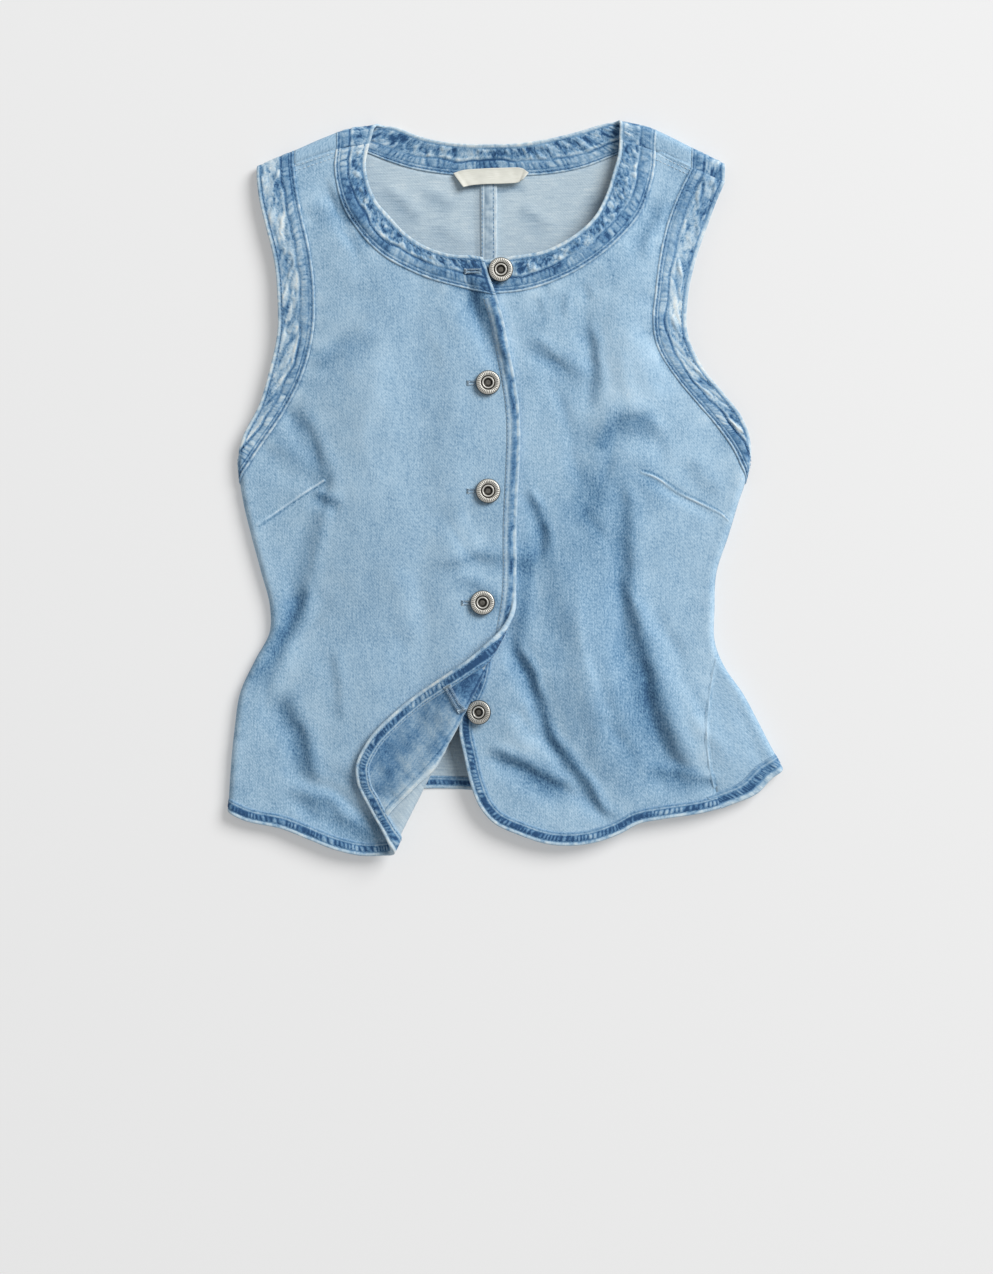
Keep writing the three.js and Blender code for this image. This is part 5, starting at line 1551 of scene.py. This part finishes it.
class VestStitches(bpy.types.Operator):
    """Sews the topstitching and the buttonholes"""
    bl_idname = "vest.stitches"
    bl_label = "Stitches"

    def execute(self, context):
        sizes = context.scene.vest_thread
        tonal = thread_material("thread_washed_blue", ("#4E7BA6", "#7FA5C4"), 0.05)
        pale = thread_material("thread_faded_white", ("#B4C8D6", "#DDE7EB"), 0.1)
        blue, light = [], []
        right, left = right_edge_path(STITCH_PATH_STEP), left_edge_path(STITCH_PATH_STEP)
        # The folded corner shows the stitches of its inside
        turned_up = past_flap(right.x, right.y) > 3
        for offset in (OUTER_ROW, HEM_WIDTH - INNER_ROW):
            blue.append(stitch_line(on_upper_front, right, offset, lift=0.3))
            x, y = right.beside(offset)
            blue.append(lay(on_upper_front, x, y, flap_depth(right) - 0.35)[turned_up])
            blue.append(stitch_line(on_lower_front, left, -offset, lift=0.3))
        for side in (RIGHT, LEFT):
            to_space = on_upper_front if side == RIGHT else on_lower_front
            hem = back_hem_path(side, STITCH_PATH_STEP)
            for offset in (OUTER_ROW, BACK_INNER_ROW):
                blue.append(stitch_line(on_back, hem, -side * offset, lift=CLOTH + 0.35))
            for seam, free in ((NECK[side], NECK_FREE[side]), (ARMHOLE[side], ARM_FREE[side])):
                blue.extend(band_lines(to_space, seam, free, lift=BAND_PROUD + 0.15))
            shoulder = Path([ARMHOLE[side][-1], NECK[side][-1]], STITCH_PATH_STEP)
            for offset in SHOULDER_ROWS:
                light.append(stitch_line(to_space, shoulder, side * offset, lift=0.15))
        blue.extend(band_lines(on_back, *back_neck_lines(), lift=BAND + 0.2))
        ends = [(CENTRE_BACK, CENTRE_HEM_Y + 8), (CENTRE_BACK, CENTRE_NECK_Y - 1)]
        fell = Path(ends, STITCH_PATH_STEP)
        for offset in (FELL_ROW, FELL_WIDTH - FELL_ROW):
            blue.append(stitch_line(on_back, fell, offset, lift=CLOTH * 2 + 0.65))
        rows = {"Pitch": sizes.pitch, "Length": sizes.length, "Thickness": sizes.thickness,
                "Seed": sizes.seed}
        tree = topstitch_tree()
        for name, lines, thread in (
                ("topstitching_blue", blue, tonal), ("topstitching_white", light, pale)):
            settle(grow(name, lines, tree, {**rows, "Material": thread}), "denim_band")
        holes = []
        for number in FASTENED:
            low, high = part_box(f"button_{number}")
            x, y = (low[0] + high[0]) / 2 / MM, (low[1] + high[1]) / 2 / MM
            holes.extend(hole_threads(on_upper_front, x - HOLE_BESIDE_BUTTON, y, turn=0,
                                      length=HOLE_LENGTH, lift=0.2))
        holes.extend(hole_threads(on_upper_front, *BAND_HOLE, turn=0, length=BAND_HOLE_LENGTH,
                                  lift=1.1, reach=1.1))
        holes.extend(flap_hole())
        faded = thread_material("thread_faded_blue", ("#8FB0CA", "#CBDDE8"), 0.1)
        thick = {"Thickness": sizes.hole_thread, "Material": faded}
        settle(grow("buttonhole_threads", holes, thread_tree(), thick), "denim_band")
        return {"FINISHED"}


def flap_hole():
    """The buttonhole on the folded corner, whose inside shows: its place is mirrored in the fold."""
    turn = FLAP_AXIS[2]
    x, y = FLAP_HOLE
    past = past_flap(x, y)
    px, py = x - math.cos(turn) * past * 2, y - math.sin(turn) * past * 2
    shift = (math.pi - 2) * CURL
    px, py = px + math.cos(turn) * shift, py + math.sin(turn) * shift
    direction = 2 * (math.degrees(turn) + 90) - FLAP_HOLE_TURN
    return hole_threads(on_upper_front, px, py, direction, length=FLAP_HOLE_LENGTH,
                        lift=-CLOTH - 2.3, reach=2.0)


# The camera's sensor in millimetres, and how far it sees in metres
SENSOR_WIDTH = 36
FAR_CLIP = 20


class VestStage(bpy.types.Operator):
    """Makes the pale floor, the soft studio light and the camera straight above"""
    bl_idname = "vest.stage"
    bl_label = "Stage"

    def execute(self, context):
        sizes = context.scene.vest_stage
        scene = context.scene
        scene.view_settings.view_transform = "Standard"
        mesh = bpy.data.meshes.new("floor")
        half = sizes.floor_size / 2
        corners = [(-half, -half, 0), (half, -half, 0), (half, half, 0), (-half, half, 0)]
        mesh.from_pydata(corners, [], [(0, 1, 2, 3)])
        floor = bpy.data.objects.new("floor", mesh)
        scene.collection.objects.link(floor)
        # Opal acrylic sheet, lit faintly from below so that shadows on it stay pale
        material, tree = new_material("acrylic_opal_matt")
        shader = put(tree, "ShaderNodeBsdfPrincipled", {
            "Base Color": tuple(sizes.floor_colour), "Roughness": 0.8, "Specular IOR Level": 0.1,
            "Emission Color": (1, 1, 1, 1), "Emission Strength": sizes.floor_glow})
        put(tree, "ShaderNodeOutputMaterial", {"Surface": shader})
        mesh.materials.append(material)
        floor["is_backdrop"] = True
        world = bpy.data.worlds.new("studio")
        world.use_nodes = True
        world.node_tree.nodes["Background"].inputs["Color"].default_value = (1, 1, 1, 1)
        world.node_tree.nodes["Background"].inputs["Strength"].default_value = sizes.sky_strength
        scene.world = world
        key = bpy.data.lights.new("key", "AREA")
        key.shape = "DISK"
        key.size = sizes.key_size
        key.energy = sizes.key_power
        lamp = bpy.data.objects.new("key", key)
        lamp.location = sizes.key_place
        lamp.rotation_euler = (-lamp.location).to_track_quat("-Z", "Y").to_euler()
        scene.collection.objects.link(lamp)
        camera = bpy.data.cameras.new("camera")
        camera.sensor_width = SENSOR_WIDTH
        camera.lens = sizes.camera_lens
        camera.clip_end = FAR_CLIP
        eye = bpy.data.objects.new("camera", camera)
        eye.location = sizes.camera_place
        scene.collection.objects.link(eye)
        scene.camera = eye
        return {"FINISHED"}


OPERATORS = (VestStage, VestBacks, VestFronts, VestBands, VestLabel, VestButtons, VestStitches)
PROPERTIES = {"vest_cloth": VestClothSizes, "vest_thread": VestThreadSizes,
              "vest_button": VestButtonSizes, "vest_stage": VestStageSizes}


class VestPanel(bpy.types.Panel):
    """Lists the steps that build the vest, with their sizes"""
    bl_idname = "VIEW3D_PT_vest"
    bl_label = "Denim vest"
    bl_space_type = "VIEW_3D"
    bl_region_type = "UI"
    bl_category = "Vest"

    def draw(self, context):
        for name, group in PROPERTIES.items():
            for field in group.__annotations__:
                self.layout.prop(getattr(context.scene, name), field)
        for operator in OPERATORS:
            self.layout.operator(operator.bl_idname)


def register():
    for kind in (*PROPERTIES.values(), *OPERATORS, VestPanel):
        bpy.utils.register_class(kind)
    for name, group in PROPERTIES.items():
        setattr(bpy.types.Scene, name, bpy.props.PointerProperty(type=group))


def unregister():
    for name in PROPERTIES:
        delattr(bpy.types.Scene, name)
    for kind in (VestPanel, *OPERATORS, *PROPERTIES.values()):
        bpy.utils.unregister_class(kind)


def main():
    register()
    for operator in OPERATORS:
        family, step = operator.bl_idname.split(".")
        getattr(getattr(bpy.ops, family), step)()
    boxes = {"cad": cad_box, "visual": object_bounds()}
    {name: [list(map(float, corner)) for corner in box] for name, box in boxes.items()}


if __name__ == "__main__":
    main()
